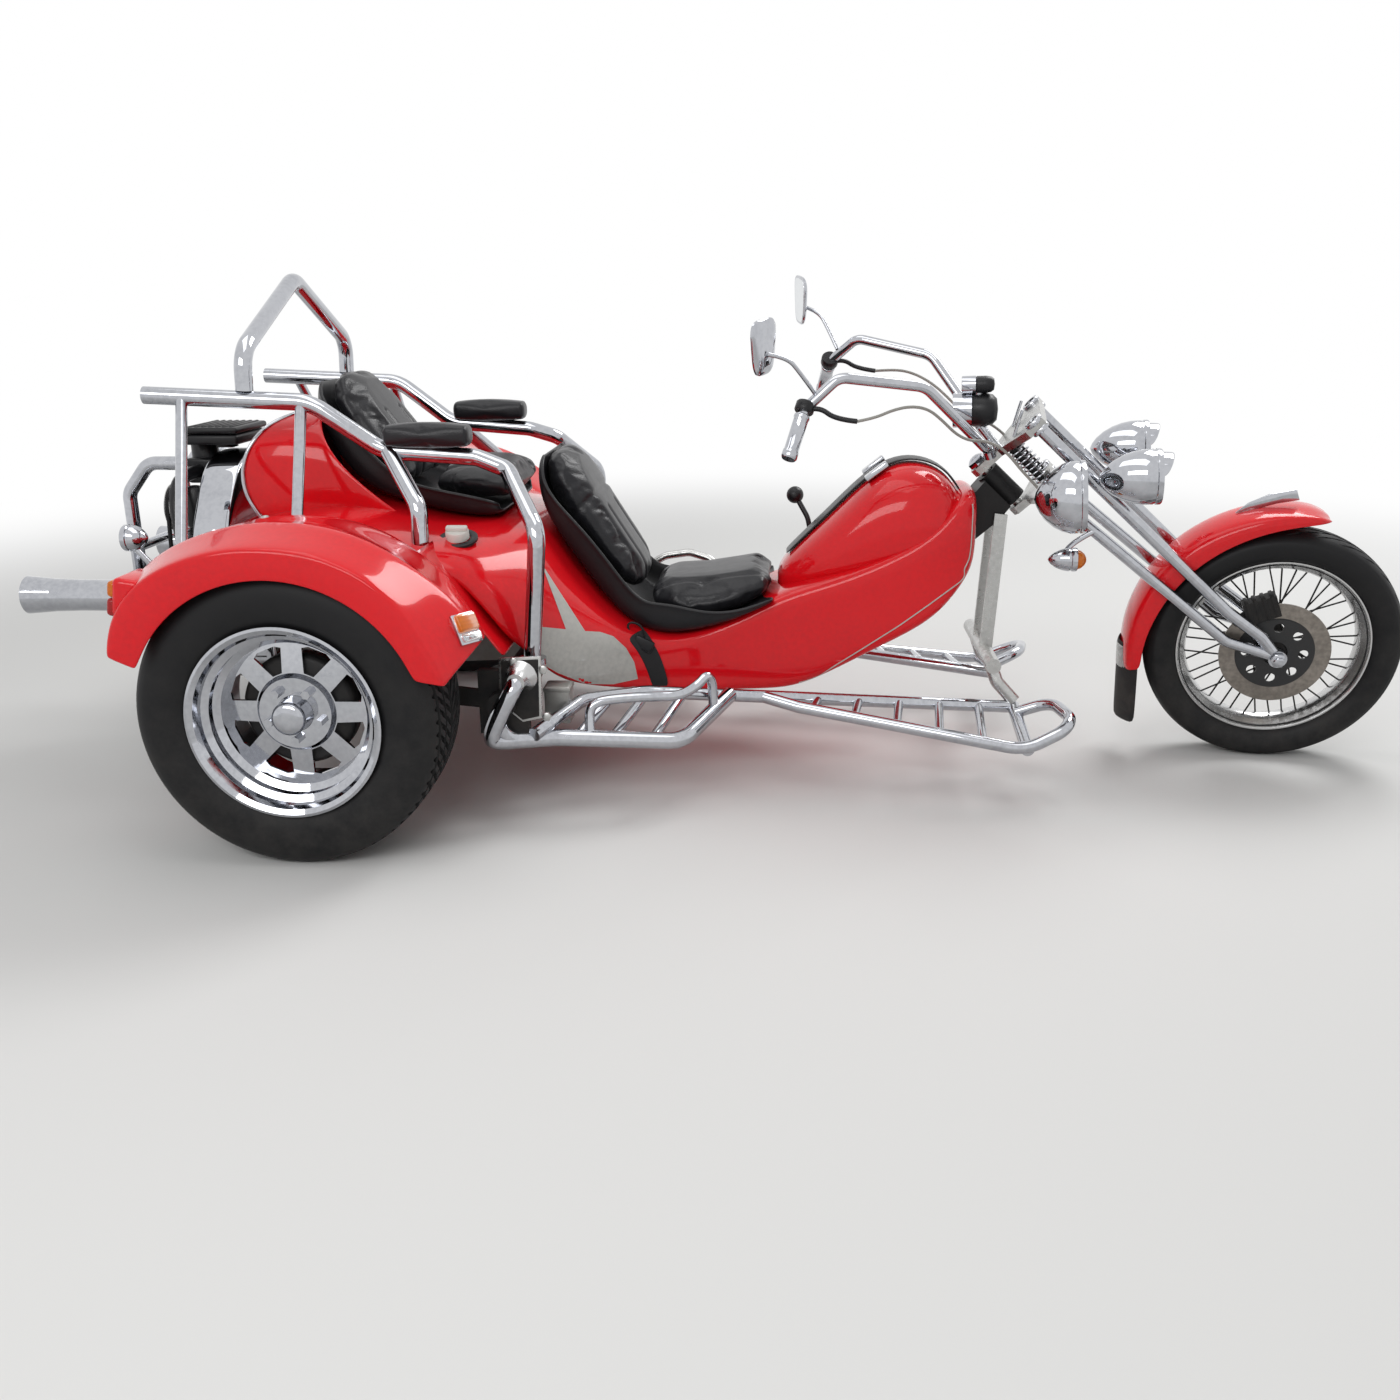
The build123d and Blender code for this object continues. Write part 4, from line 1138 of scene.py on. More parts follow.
GENERATOR = [  # radius, distance back from the shroud
    (0, 0), (54, 0), (54, 8), (50, 10), (50, 96), (54, 98), (54, 112), (46, 118), (20, 120),
    (0, 120)]
UPPER_PULLEY = [(0, 0), (20, 0), (60, 2), (63, 4), (63, 6), (55, 12), (63, 18), (63, 20), (56, 23),
                (24, 24), (20, 23), (0, 23)]
LOWER_PULLEY = [(0, 0), (20, 0), (80, 2), (85, 4), (85, 6), (77, 12), (85, 18), (85, 20), (78, 23),
                (70, 18), (34, 18), (30, 23), (0, 23)]
CRANK_NOSE = [(0, 0), (30, 0), (30, 46), (0, 46)]
UPPER_Z, LOWER_Z, PULLEY_X, REARWARD = 640, 400, -560, (-1, 0, 0)
piece("generator", spun(GENERATOR, at(-438, 0, UPPER_Z), REARWARD), "frame", CHROME, ["belt_drive"])
piece("pulleys", gathered([spun(UPPER_PULLEY, at(PULLEY_X, 0, UPPER_Z), REARWARD),
                           spun(LOWER_PULLEY, at(PULLEY_X, 0, LOWER_Z), REARWARD),
                           spun(CRANK_NOSE, at(-516, 0, LOWER_Z), REARWARD, 32)]), "frame", STEEL)


def belt_bend(radius, z, start):
    """Half a turn of the belt round a pulley, from a start angle."""
    turns = [start + n * math.pi / 8 for n in range(9)]
    return [at(PULLEY_X - 12, radius * math.cos(a), z + radius * math.sin(a)) for a in turns]


wire("fan_belt", [belt_bend(58, UPPER_Z, 0) + belt_bend(80, LOWER_Z, math.pi)], 11, "frame", TYRE,
     cyclic=True)

# %% [markdown]
# ### Cylinders, covers and pipes
#
# A cylinder is a profile with eleven fins, spun about its own axis. The rest of the
# engine is bevelled blocks and short spun forms, which overlap as the castings do.

# %% Crankcase and cylinders
CYLINDER_X = (-404, -276)
BARREL = [(0, 118), (46, 118)]
for n in range(11):
    start = 132 + n * 11
    BARREL += [(46, start), (60, start + 1.5), (60, start + 4), (46, start + 5.5)]
BARREL += [(46, 256), (0, 256)]
castings = [block((326, 250, 232), at(-350, 0, 340), 14, 3)]
castings += [block((316, 8, 238), at(-350, y, 340), 2) for y in (-96, -48, 0, 48, 96)]
castings.append(block((220, 300, 20), at(-350, 0, 229), 6))
for side in SIDES:
    castings += [spun(BARREL, at(x, 0, 350), (0, side, 0), 40) for x in CYLINDER_X]
    castings += [block((246, 46, 5), at(-340, side * 276, 300 + n * 20), 1.5) for n in range(6)]
    castings.append(block((228, 40, 104), at(-340, side * 276, 350), 4))
piece("engine", gathered(castings), "frame", ALLOY, ["engine_block"])
covers = [block((240, 24, 92), at(-340, LEFT * 307, 350), 10, 4)]
covers += [block((200, 27, 5), at(-340, LEFT * 307, 322 + n * 18), 2) for n in range(4)]
piece("rocker_covers", both_sides(gathered(covers)), "frame", CHROME, crease=30)
push_rods = [[at(x + shift, side * y, z) for y, z in ((120, 300), (190, 292), (258, 296))]
             for x in CYLINDER_X for shift in (-22, 22) for side in SIDES]
wire("push_rod_tubes", push_rods, 20, "frame", CHROME)
HEATER_HOSE = [(-392, 250, 500), (-398, 296, 492), (-404, 304, 450), (-400, 296, 408)]
wire("heater_hoses", twins(HEATER_HOSE), 40, "frame", PLASTIC)

# %% Ignition coil, distributor, carburettors, intake pipes and air filter
fittings = [block((70, 96, 64), at(-478, 0, 742), 8, 3),
            spun([(0, 0), (34, 0), (34, 36), (28, 44), (0, 44)], at(-478, 0, 770), steps=32)]
for side in SIDES:
    fittings += [spun([(0, 0), (24, 0), (27, 4), (27, 92), (22, 100), (10, 104), (0, 104)],
                      at(-460, side * 128, 612), steps=32),
                 block((56, 52, 74), at(-461, side * 190, 560), 9, 3)]
piece("engine_fittings", gathered(fittings), "frame", PLASTIC)
INTAKE = [(-478, 40, 742), (-486, 130, 746), (-478, 205, 700), (-462, 226, 600), (-460, 228, 500),
          (-436, 236, 400)]
wire("intake_pipes", twins(INTAKE), 34, "frame", PLASTIC)
filter_box = [block((146, 196, 26), at(-420, 0, 826), 8, 3),
              block((150, 200, 16), at(-420, 0, 849), 7, 3)]
filter_box += [block((8, 176, 5), at(-474 + n * 18, 0, 857), 2) for n in range(7)]
filter_box.append(spun([(0, 0), (30, 0), (30, 16), (0, 16)], at(-420, 0, 800), steps=32))
piece("filter_box", gathered(filter_box), "frame", PLASTIC, ["air_filter"])

# %% [markdown]
# ## Front wheel
#
# The rim is polished on the outside and laced to a small black hub. The spokes start from
# the hub's two sides in turn, and lean forward or back in pairs, so that they cross.

# %% Rim, hub and spokes
FRONT_RIM = mirrored([  # radius, distance across: the side toward the hub, then the other
    (231.5, -42), (228, -42), (224, -38), (220, -30), (210, -24), (204, -12)], (202.5, 0),
    across=1)
FRONT_RIM += mirrored([(226, 34), (218, 22), (210, 12)], (209, 0), across=1)
FRONT_HUB = mirrored([
    (11, -66), (28, -66), (30, -64), (30, -50), (45, -46), (47, -43), (47, -38), (44, -36),
    (28, -30), (24, -20)], across=1)
axle = at(*FRONT_AXLE)
rim_bm = spun(FRONT_RIM, axle, (0, -1, 0), 96, closed=True)
piece("wheel_rim", rim_bm, "front_wheel", RIM_ALLOY, ["front_rim"])
hub_bm = spun(FRONT_HUB, axle, (0, -1, 0), 48, closed=True)
piece("wheel_hub", hub_bm, "front_wheel", BLACK_PAINT)


def on_wheel(radius, degrees, across):
    turn = math.radians(degrees)
    return axle + Vector((radius * math.cos(turn), across, radius * math.sin(turn))) * MM


SPOKES, SPOKE_LEAN = 40, 34
spokes = []
for n in range(SPOKES):
    side = RIGHT if n % 2 else LEFT
    lean = SPOKE_LEAN if n % 4 < 2 else -SPOKE_LEAN
    angle = 360 / SPOKES * n
    inner, outer = on_wheel(44, angle + lean, 40 * side), on_wheel(205, angle, 7 * side)
    spokes.append([inner, (inner + outer) / 2, outer])
wire("spokes", spokes, 4.4, "front_wheel", BLACK_PAINT, sides=1)

# %% [markdown]
# ## Lamps
#
# All the lamps are bullet lamps in one shape: a chrome cup behind, a rolled rim, a
# reflector inside and a domed lens. Only their sizes, places and lens colours differ.

# %% Parts of a bullet lamp


def lamp_parts(centre, diameter, length, tilt, dome):
    """The cup, reflector and lens of a lamp; dome is how far the lens stands out."""
    r = diameter / 2
    back = Vector((-math.cos(math.radians(tilt)), 0, -math.sin(math.radians(tilt))))
    front = at(*centre) - back * ((length / 2 - dome) * MM)
    length -= dome
    rim = [(r - 7, 7), (r - 7, 2), (r - 5, 0), (r - 2, 0), (r, 3), (r, 12), (r - 2, 14),
           (r - 2, 17), (r - 0.6, 19)]
    cup = rim + [(a * r, b * length) for a, b in (
        (0.985, 0.3), (0.92, 0.46), (0.8, 0.62), (0.62, 0.77), (0.4, 0.89), (0.2, 0.96), (0, 1))]
    reflector = [(r - 7, 8)] + [(a * r, b * length) for a, b in (
        (0.8, 0.2), (0.6, 0.34), (0.3, 0.44), (0, 0.46))]
    glass = [(r - 7.5, 9), (r - 7.5 + 0.2 * dome, 6), (0.74 * r, 3 - 0.5 * dome),
             (0.5 * r, 1.5 - 0.8 * dome), (0.25 * r, 0.6 - 0.95 * dome), (0, 0.4 - dome)]
    return [spun(rows, front, back, 48) for rows in (cup, reflector, glass)]


def bullet_lamps(name, x, y, z, diameter, length, tilt, lens_finish, body, dome=0, sides=SIDES):
    """A lamp on each side: one piece of the cups, one of the reflectors, one of the lenses."""
    lamps = [lamp_parts((x, side * y, z), diameter, length, tilt, dome) for side in sides]
    cups, reflectors, lenses = zip(*lamps)
    node_name = "headlamp" if name == "main_lamp" else name + "s"
    piece(f"{name}_cups", gathered(cups), body, CHROME, [node_name])
    piece(f"{name}_reflectors", gathered(reflectors), body, CHROME)
    piece(f"{name}_lenses", gathered(lenses), body, lens_finish)

# %% The seven bullet lamps
bullet_lamps("main_lamp", 1712, 200, 733, 172, 118, 5, CLEAR, "fork", sides=[RIGHT])
bullet_lamps("spot_lamp", 1872, 138, 770, 132, 142, 4, CLEAR, "fork")
bullet_lamps("turn_lamp", 1746, 172, 571, 58, 92, 2, AMBER, "fork", dome=22)
bullet_lamps("rear_lamp", -470, 440, 640, 62, 64, 180, RED_LENS, "frame", dome=9)


def visor(centre, radius, reach):
    """A short bright peak over the top of a lamp's rim."""
    rows = []
    for n in range(13):
        angle = math.radians(20 + 140 * n / 12)
        y, z = radius * math.cos(angle), radius * math.sin(angle)
        stretch = reach * math.sin(math.pi * n / 12) ** 0.6
        base = at(centre[0], centre[1] + y, centre[2] + z)
        rows.append([base - Vector((26, 0, 0)) * MM, base, base + Vector((stretch, 0, 0)) * MM])
    return lofted(rows, ring=False)


visors = [visor((1940, side * 138, 766), 67, 26) for side in SIDES]
piece("spot_visors", gathered(visors), "fork", CHROME, wall=1.6, rounds=1)

LEG_Y = 97
stays = []
for side in SIDES:
    lamp_end, leg_end = at(1866, side * 105, 722), fork(236, 192, side * LEG_Y)
    stays.append([lamp_end, (lamp_end + leg_end) / 2, leg_end])
wire("spot_stays", stays, 18, "fork", CHROME)
stays = [[at(1742, side * 160, 578), at(1738, side * 132, 590), fork(262, 98, side * (LEG_Y + 8))]
         for side in SIDES]
wire("turn_stays", stays, 14, "fork", CHROME)
main_stay = [at(1716, -160, 704), at(1716, -120, 696), at(1716, -84, 690)]
wire("main_lamp_stay", [main_stay], 22, "fork", CHROME)
REAR_STAY = [(-470, 440, 614), (-452, 436, 588), (-430, 430, 560)]
wire("rear_lamp_stays", twins(REAR_STAY), 14, "frame", CHROME)

# %% [markdown]
# ### Side and tail lamps
#
# The side lamps sit flat on the fenders, so a ray from the camera finds the spot on the
# fender's skin and the way it faces there. The tail lamps are plain bevelled blocks.

# %% Side and tail lamps
LAMP_SPOT = at(376, -755, 512)
fender_skin = BVHTree.FromObject(fenders[RIGHT], bpy.context.evaluated_depsgraph_get())
seat, outward, _, _ = fender_skin.ray_cast(CAMERA_PLACE, (LAMP_SPOT - CAMERA_PLACE).normalized())
along = outward.cross(Vector((0, 0, 1)))
lean = Matrix((along.normalized(), outward.cross(along).normalized() * -1,
               outward)).transposed().to_4x4()


def lamp_block(size, out_by, up_by, bevel, segments):
    """A block on the lamp's spot, raised off the skin and shifted up along it, on both sides."""
    place = seat + outward * out_by * MM + lean @ Vector((0, up_by * MM, 0))
    return both_sides(block(size, place, bevel, segments, turn=lean))


piece("side_lamp_bases", lamp_block((58, 66, 8), 2, 0, 2, 2), "frame", CHROME)
piece("side_lamp_lenses", lamp_block((52, 40, 18), 9, 11, 7, 4), "frame", AMBER, ["side_lamps"])
piece("side_lamp_clears", lamp_block((50, 18, 15), 8, -20, 5, 4), "frame", CLEAR)

screws = []
for x in (-267, -88):
    seat, outward, _, _ = fender_skin.ray_cast(at(x, -600, 1000), Vector((0, 0, -1)))
    screws.append(spun([(0, -2), (9, -2), (9, 1), (6, 4), (0, 5)], seat, outward, 20))
piece("fender_screws", both_sides(gathered(screws)), "frame", STEEL)

for name, size, x, z, bevel, material, replaced in (
        ("tail_housings", (60, 112, 82), -290, 592, 12, RED, ["tail_lamps"]),
        ("tail_lenses", (30, 104, 38), -320, 574, 9, RED_LENS, []),
        ("tail_flashers", (30, 104, 34), -314, 611, 9, AMBER, [])):
    lamp_bm = block(size, at(x, -800, z), bevel, 4, turn=about("Y", 8.9))
    piece(name, both_sides(lamp_bm), "frame", material, replaced)

# %% [markdown]
# ## Handlebar, gauges and cables
#
# The bar itself is CAD. Grips, gauges and mirrors are dressed here. Each cable is one
# smooth curve through the points that the CAD cable was routed along.

# %% Grips
GRIP_TOP, GRIP_END = Vector((1112, 276, 948)), Vector((1086, 352, 852))


def grip_parts(side):
    top_end = at(GRIP_TOP.x, side * GRIP_TOP.y, GRIP_TOP.z)
    low_end = at(GRIP_END.x, side * GRIP_END.y, GRIP_END.z)
    axis = (low_end - top_end).normalized()
    sleeve = [(0, 14), (17, 14), (19, 16), (19, 22), (17.4, 24), (17.4, 104), (19, 106), (19, 122),
              (16, 126), (0, 126)]
    housing = [(0, -18), (21, -18), (23, -15), (23, 3), (21, 6), (0, 6)]
    return spun(sleeve, top_end, axis, 40), spun(housing, top_end, axis, 40)


sleeves, housings = zip(*(grip_parts(side) for side in SIDES))
piece("grip_sleeves", gathered(sleeves), "fork", CHROME, ["grips"], crease=50)
piece("grip_housings", gathered(housings), "fork", PLASTIC)
GRIP_ELBOW = [(1129, 274.5, 950), (1150, 279, 955), (1186, 284, 930), (1236, 280, 925)]
wire("cable_elbows", twins(GRIP_ELBOW), 12, "fork", PLASTIC)

# %% Gauges
BIG_GAUGE, SMALL_GAUGE = (1450, 888, 42, 110), (1468, 951, 22, 80)  # x, z, radius, length
ahead = Vector((math.cos(math.radians(3)), 0, math.sin(math.radians(3))))
rims, barrels, dials, marks = [], [], [], []
for x, z, r, length in (BIG_GAUGE, SMALL_GAUGE):
    place = at(x, 0, z)
    rim = [(r - 5, 4), (r - 4, 0), (r - 1, 0), (r, 2), (r, 0.42 * length), (r - 3, 0.44 * length)]
    barrel = [(r - 3, 0.43 * length), (r - 1, 0.46 * length), (r - 1, 0.72 * length),
              (0.86 * r, 0.88 * length), (0.62 * r, 0.97 * length), (0, length)]
    rims.append(spun(rim, place, ahead, 48))
    barrels.append(spun(barrel, place, ahead, 48))
    dials.append(spun([(r - 4.5, 6), (r - 4.5, 4), (0, 4)], place, ahead, 48))
    for n in range(13):
        angle = -30 + 240 * n / 12
        turn = math.radians(angle)
        arm = Vector((0, math.cos(turn), math.sin(turn))) * (r * 0.74 * MM)
        marks.append(block((0.8, r * 0.2, 1.2), place + ahead * 3.6 * MM + arm,
                           turn=about("X", angle)))
    marks.append(block((0.8, r * 1.1, 1.6), place + ahead * 3.2 * MM, turn=about("X", 50)))
piece("gauge_rims", gathered(rims), "fork", CHROME, ["gauges"])
piece("gauge_barrels", gathered(barrels), "fork", PLASTIC)
piece("gauge_dials", gathered(dials), "fork", PLASTIC)
piece("gauge_marks", gathered(marks), "fork", WHITE_PLASTIC)
gauge_foot, yoke_top = at(1520, 0, 850), fork(-38, 60, 0)
wire("gauge_posts", [[gauge_foot, (gauge_foot + yoke_top) / 2, yoke_top],
                     [at(1510, 0, z) for z in (922, 932, 942)]], 22, "fork", CHROME)

# %% Mirrors
MIRROR_YAW = math.radians(22)
MIRROR_OUTLINE = [(a * (0.86 + 0.14 * b / 62), b) for a, b in oval(56, 62, 0, -62, 4.0, 28)]
MIRROR_ROWS = [(0, 0.985), (1, 1.0), (5, 1.0), (8, 0.95), (11, 0.82), (13, 0.58), (14, 0.25)]
GLASS_ROWS = [(-0.4, 0.9), (0.4, 0.9)]


def mirror_part(side, rows):
    """Rings of a mirror's outline, from (depth, scale) rows, lofted into a closed form."""
    ahead = Vector((math.cos(MIRROR_YAW), side * math.sin(MIRROR_YAW), 0))
    across_axis = Vector((0, 0, 1)).cross(ahead)
    centre = at(1022, side * 330, 1101)
    return lofted([[centre + across_axis * (a * MM * scale) + Vector((0, 0, b * MM * scale))
                    + ahead * (depth * MM) for a, b in MIRROR_OUTLINE] for depth, scale in rows])


mirror_shells = gathered(mirror_part(side, MIRROR_ROWS) for side in SIDES)
piece("mirror_shells", mirror_shells, "fork", CHROME, ["mirrors"])
mirror_glasses = gathered(mirror_part(side, GLASS_ROWS) for side in SIDES)
piece("mirror_glasses", mirror_glasses, "fork", MIRROR_GLASS)
MIRROR_STEM = [(1134, 262, 985), (1104, 290, 1036), (1076, 312, 1076), (1030, 330, 1085)]
wire("mirror_stems", twins(MIRROR_STEM), 10, "fork", CHROME)

# %% Springs
COILS, COIL_R, SPRING_LONG, SPRING_Y = 8, 16.5, 116, 44
COIL_POINTS = COILS * 12
coils = []
for side in SIDES:
    start = fork(-18, 90, side * SPRING_Y)
    coils.append([start - STEER_UP * (SPRING_LONG * MM * (0.03 + 0.94 * n / COIL_POINTS))
                  + (AHEAD * math.cos(n * math.tau / 12)
                     + Vector((0, 1, 0)) * math.sin(n * math.tau / 12)) * COIL_R * MM
                  for n in range(COIL_POINTS + 1)])
springs = wire("coil_springs", coils, 5, "fork", CHROME)
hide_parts("fork_springs")
rods = [[fork(down, 90, side * SPRING_Y) for down in (-16, 40, 96)] for side in SIDES]
wire("spring_rods", rods, 20, "fork", BLACK_PAINT)

# %% [markdown]
# ### Cables
#
# Throttle and clutch cable run from the grips' elbows over the bar and down behind the
# yokes. Each is one smooth curve.

# %% Cables
CABLE_DIAMETER = 0.007
THROTTLE_ROUTE = [(1236, -280, 925), (1276, -269, 931), (1316, -249, 946), (1357, -226, 950),
                  (1396, -202, 938), (1430, -179, 905), (1462, -154, 868), (1496, -128, 846),
                  (1533, -104, 841), (1568, -86, 822)]
CLUTCH_ROUTE = [(1236, 280, 925), (1276, 262, 932), (1318, 238, 935), (1358, 212, 927),
                (1396, 190, 910), (1432, 170, 884), (1464, 148, 858), (1497, 126, 841),
                (1533, 104, 838), (1568, 86, 822)]
LOWER_END = [(-12, 80, 78), (30, 75, 76), (68, 74, 78), (104, 72, 77)]  # down, ahead, across
for name, points, side, length in (("throttle_line", THROTTLE_ROUTE, RIGHT, 0.577),
                                   ("clutch_line", CLUTCH_ROUTE, LEFT, 0.562)):
    route = [at(*point) for point in points]
    route += [fork(down, ahead, side * y) for down, ahead, y in LOWER_END]
    line = wire(name, [route], CABLE_DIAMETER / MM, "fork", GREY_SHEATH, sides=4)
    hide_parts(name.replace("_line", "_cable"))

# %% [markdown]
# ## Trim and graphics
#
# The silver flashes and the pinstripe are thin films laid on the finished body, so they
# follow its curves. Each outline point is where the camera sees it, and is dropped on to
# the smooth surface along the line of sight. The other side gets the mirror image.

# %% Laying a film on the body
bpy.context.view_layer.update()
skin = BVHTree.FromObject(body, bpy.context.evaluated_depsgraph_get())
FILM, FILM_EDGE = 0.8 * MM, 0.016


def dropped(place):
    """The point of the body's skin that is seen behind or in front of a place."""
    aim = (place - CAMERA_PLACE).normalized()
    spot, normal, _, _ = skin.ray_cast(CAMERA_PLACE, aim)
    if spot is None:
        spot, normal, _, _ = skin.find_nearest(place)
    if normal.dot(aim) > 0:
        normal = -normal
    return spot + normal * FILM


def film(name, outlines, material):
    """Thin flat pieces in the outlines' shapes, laid on both flanks of the body."""
    bm = bmesh.new()
    for outline in outlines:
        bm.faces.new([bm.verts.new(at(*point)) for point in outline])
    bmesh.ops.triangulate(bm, faces=bm.faces)
    for _ in range(5):
        long_edges = [edge for edge in bm.edges if edge.calc_length() > FILM_EDGE]
        if not long_edges:
            break
        bmesh.ops.subdivide_edges(bm, edges=long_edges, cuts=1)
        bmesh.ops.triangulate(bm, faces=bm.faces)
    for vert in bm.verts:
        vert.co = dropped(vert.co)
    bmesh.ops.recalc_face_normals(bm, faces=bm.faces)
    side_face = max(bm.faces, key=lambda f: f.calc_area())
    if side_face.normal.dot(CAMERA_PLACE - side_face.calc_center_median()) < 0:
        bmesh.ops.reverse_faces(bm, faces=bm.faces)
    return piece(name, both_sides(bm), "frame", material, crease=60)

# %% Silver flashes and pinstripe
FLASHES = [  # outlines as x, y, z; the long spike, then the two patches below it
    [(483, -460, 590), (500, -440, 539), (557, -340, 267), (619, -310, 258), (562, -360, 405)],
    [(474, -450, 438), (525, -395, 418), (557, -340, 267), (500, -400, 312), (454, -450, 360)],
    [(562, -360, 405), (595, -340, 398), (625, -330, 385), (653, -310, 350), (671, -300, 312),
     (678, -290, 266), (619, -310, 258)]]
film("silver_flashes", FLASHES, SILVER)

PINSTRIPE = [(1513, -160, 688), (1514, -165, 616), (1509, -165, 542), (1468, -165, 487),
             (1397, -170, 432), (1325, -170, 377), (1228, -175, 313), (1079, -180, 216)]
stripe = []
for start, end in zip(PINSTRIPE, PINSTRIPE[1:]):
    stripe += [dropped(at(*start).lerp(at(*end), n / 4)) for n in range(4)]
stripe.append(dropped(at(*PINSTRIPE[-1])))
wire("pinstripe", [stripe, [Vector((p.x, -p.y, p.z)) for p in stripe]], 3.4, "frame", SILVER,
     sides=1)

# %% [markdown]
# ### Small fittings
#
# Caps, screws, the belt, a control box and the front fender's ornament give the trike
# its finished look. Each is a few simple forms on the piece that carries it.

# %% Filler cap
CAP_RING = [(30, -3.5), (46, -3.5), (46, 2), (43, 3.5), (34, 3.5), (30, 1.5)]
CAP_KNOB = [(0, 2), (27, 2), (27, 19), (25, 22), (0, 22)]
cap_stand = Matrix.Translation(at(280, -400, 634)) @ about("X", 16.8)
ring_bm = spun(CAP_RING, steps=48, closed=True)
piece("filler_ring", moved(ring_bm, cap_stand), "frame", PLASTIC, ["filler_cap"])
knob_bm = gathered([spun(CAP_KNOB, steps=40), block((50, 16, 12), (0, 0, 26 * MM), 4, 3)])
piece("filler_knob", moved(knob_bm, cap_stand), "frame", WHITE_PLASTIC)

# %% Covers, bolts and elbows beside the axle
BOLT = [(0, 0), (11, 0), (11, 7), (8, 9), (0, 9)]
bolts = [spun(BOLT, at(x, side * 564, z), (0, side, 0), 6) for side in SIDES
         for x, z in ((430, 388), (497, 370), (501, 259), (393, 267))]
piece("cover_bolts", gathered(bolts), "frame", STEEL)
COVER = [(397, 395), (493, 400), (489, 254), (445, 244), (393, 288)]
COVER_X, COVER_Z = 443, 316
inner_cover = [(COVER_X + (x - COVER_X) * 0.88, COVER_Z + (z - COVER_Z) * 0.92) for x, z in COVER]
upright = Matrix.Translation(at(0, -560, 0)) @ about("X", 90)
piece("cover_rims", both_sides(plate(COVER, 6, upright, 1.5)), "frame", STEEL)
piece("axle_covers", both_sides(plate(inner_cover, 9, upright, 2)), "frame", BLACK_PAINT)
ELBOW = [(446, 558, 352), (442, 586, 348), (430, 606, 326), (410, 606, 290), (390, 598, 250),
         (376, 589, 216), (384, 583, 203), (430, 562, 200), (470, 543, 197)]
wire("axle_elbows", twins(ELBOW), 43, "frame", CHROME)
FLARE = [(0, 0), (39, 0), (37, 4), (29, 12), (24, 24), (20, 36), (0, 36)]
flare_bm = spun(FLARE, at(445, -566, 352), (-0.12, -1, -0.1))
piece("elbow_flares", both_sides(flare_bm), "frame", RIM_ALLOY)
box_bm = gathered([block((62, 60, 92), at(504, -420, 246), 6, 3),
                   block((65, 63, 10), at(504, -420, 284), 2)])
piece("control_box", box_bm, "frame", ALLOY)

# %% [markdown]
# ### Safety belt and step bars
#
# The belt hangs out of the driver's seat, over its edge and down the body. A ray shot in
# from the side finds the body's skin, so that the belt lies on it all the way. The step
# bars are one tube on each rack, with both ends turned down to it.

# %% Safety belt
STRAP = [(671, 372), (682, 356), (694, 338), (706, 312), (716, 286), (724, 256), (732, 224)]
STRAP_WIDE, STRAP_PATH = 42, Vector((0.42, 0, -0.91))


def outside(place, side, gap=2.5):
    """Moves a place out to the side until it clears the body's skin by a gap."""
    start = Vector((place.x, side * 1.0, place.z))
    spot, _, _, _ = skin.ray_cast(start, Vector((0, -side, 0)))
    reach = max(abs(place.y), abs(spot.y) + gap * MM if spot else 0)
    return Vector((place.x, side * reach, place.z))


def ribbon(points, side):
    """A flat band through the points, lying against the side of the seat and the body."""
    wide = STRAP_PATH.cross(Vector((0, 1, 0))).normalized() * (STRAP_WIDE / 2 * MM)
    rows = []
    for x, z in points:
        middle = at(x, side * 236, z)
        rows.append([outside(middle + wide * share, side) for share in (-1, -0.4, 0.4, 1)])
    return lofted(rows, ring=False)


straps = [ribbon(STRAP, side) for side in SIDES]
piece("belt_straps", gathered(straps), "frame", WEBBING, wall=2.4, rounds=1)
buckles = [block((50, 10, 30), outside(at(690, side * 240, 344), side), 4, turn=about("Y", 25))
           for side in SIDES]
piece("belt_buckles", gathered(buckles), "frame", PLASTIC)
loops = []
for side in SIDES:
    loop_middle = outside(at(672, side * 240, 376), side, 5)
    loops.append([loop_middle + Vector((a, 0, b)) * MM
                  for a, b in ((-16, 22), (8, 16), (22, -8), (14, -22), (-10, -14), (-24, 8))])
wire("belt_loops", loops, 6, "frame", BLACK_PAINT, cyclic=True)

# %% Raised step bars on the foot racks
STEP_BAR = [(590, 508, 190), (586, 498, 225), (590, 490, 262), (625, 480, 273), (725, 460, 275),
            (790, 430, 266), (830, 392, 280), (852, 372, 302), (864, 360, 290), (868, 356, 250),
            (868, 358, 212)]
wire("step_bars", twins(STEP_BAR), 24, "frame", CHROME)

# %% [markdown]
# ### Fittings on the fork
#
# A fin on the fender, the rubber flap behind the wheel with its steel plate, the ribs of
# the brake caliper, and the sleeves and nuts that hold the fork's legs.

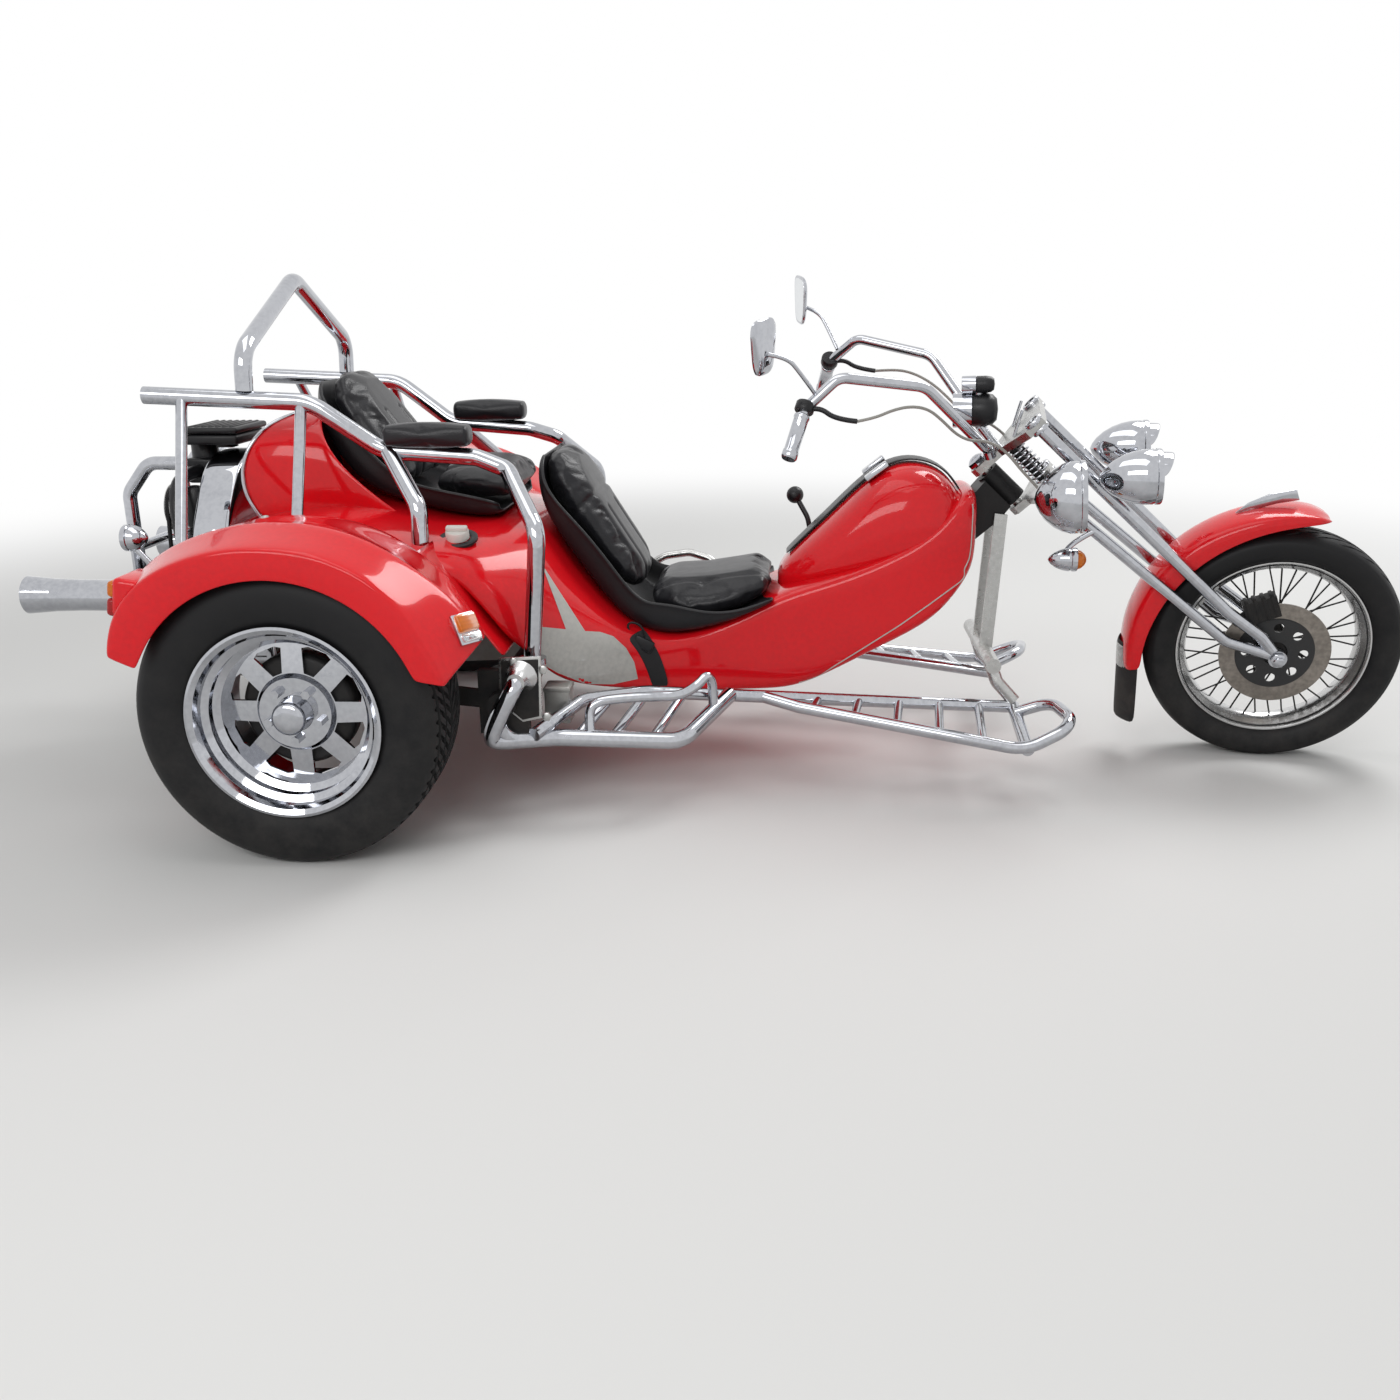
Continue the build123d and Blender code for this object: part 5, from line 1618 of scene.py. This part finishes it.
# %% Ornament, mud flap and brake caliper
FIN = [(2149, 649), (2176, 676), (2222, 700), (2281, 714), (2292, 687), (2240, 676), (2180, 655)]
fin_stand = Matrix.Translation(at(0, 2.5, 0)) @ about("X", 90)
piece("fender_ornament", plate(FIN, 5, fin_stand, 1.5), "fork", CHROME)


def flap_row(height, half_width, back, reach=1.0):
    """A row across the flap, bent forward at its sides as it follows the tyre."""
    lean = (300 - height) * 0.062
    return [at(1915 + lean - back + 44 * (share * reach) ** 2, half_width * share * reach, height)
            for share in (-1, -0.75, -0.5, -0.25, 0, 0.25, 0.5, 0.75, 1)]


flap_rows = [flap_row(z, half, 0)
             for z, half in ((304, 70), (250, 70), (196, 70), (120, 65), (80, 58))]
piece("flap", lofted(flap_rows, ring=False), "fork", FLAP, ["mud_flap"], wall=6, rounds=1)
plate_rows = [flap_row(z, 70, 5, 0.97) for z in (292, 270, 250, 228)]
piece("flap_plate", lofted(plate_rows, ring=False), "fork", STEEL, wall=2, rounds=1)

caliper_turn = about("Y", -22)
CALIPER = at(FRONT_AXLE[0] - 50, -69, FRONT_AXLE[2] + 118)
ribs = [block((9, 41, 60), CALIPER + caliper_turn @ Vector((x * MM, 0, 2 * MM)), 2,
              turn=caliper_turn) for x in (-30, -10, 10, 30)]
piece("caliper_ribs", gathered(ribs), "fork", BLACK_PAINT)

# %% Fork sleeves and nuts
LEG_SLEEVE = [(15, -5), (22, -5), (23.5, -3), (23.5, 4), (22, 6), (15, 6)]
HEAD_NUT = [(0, 0), (24, 0), (24, 12), (18, 16), (10, 20), (0, 20)]
nuts = []
for side in SIDES:
    nuts += [spun(LEG_SLEEVE, fork(down, ahead, side * LEG_Y), STEER_UP, 32)
             for down, ahead in ((-40, 178), (-16, 178), (102, 86), (124, 87))]
    nuts += [spun([(0, 0), (radius, 0), (radius, 8), (radius - 3, 10), (0, 10)],
                  at(FRONT_AXLE[0], side * (LEG_Y + along), FRONT_AXLE[2]), (0, side, 0), 6)
             for radius, along in ((19, 17), (13, 27))]
nuts.append(spun(HEAD_NUT, fork(-40, 0, 0), STEER_UP, 6))
piece("fork_nuts", gathered(nuts), "fork", CHROME)
wire("head_rods", twins([(1601, 50, 839), (1608, 50, 872), (1616, 50, 904)]), 8, "fork", CHROME)
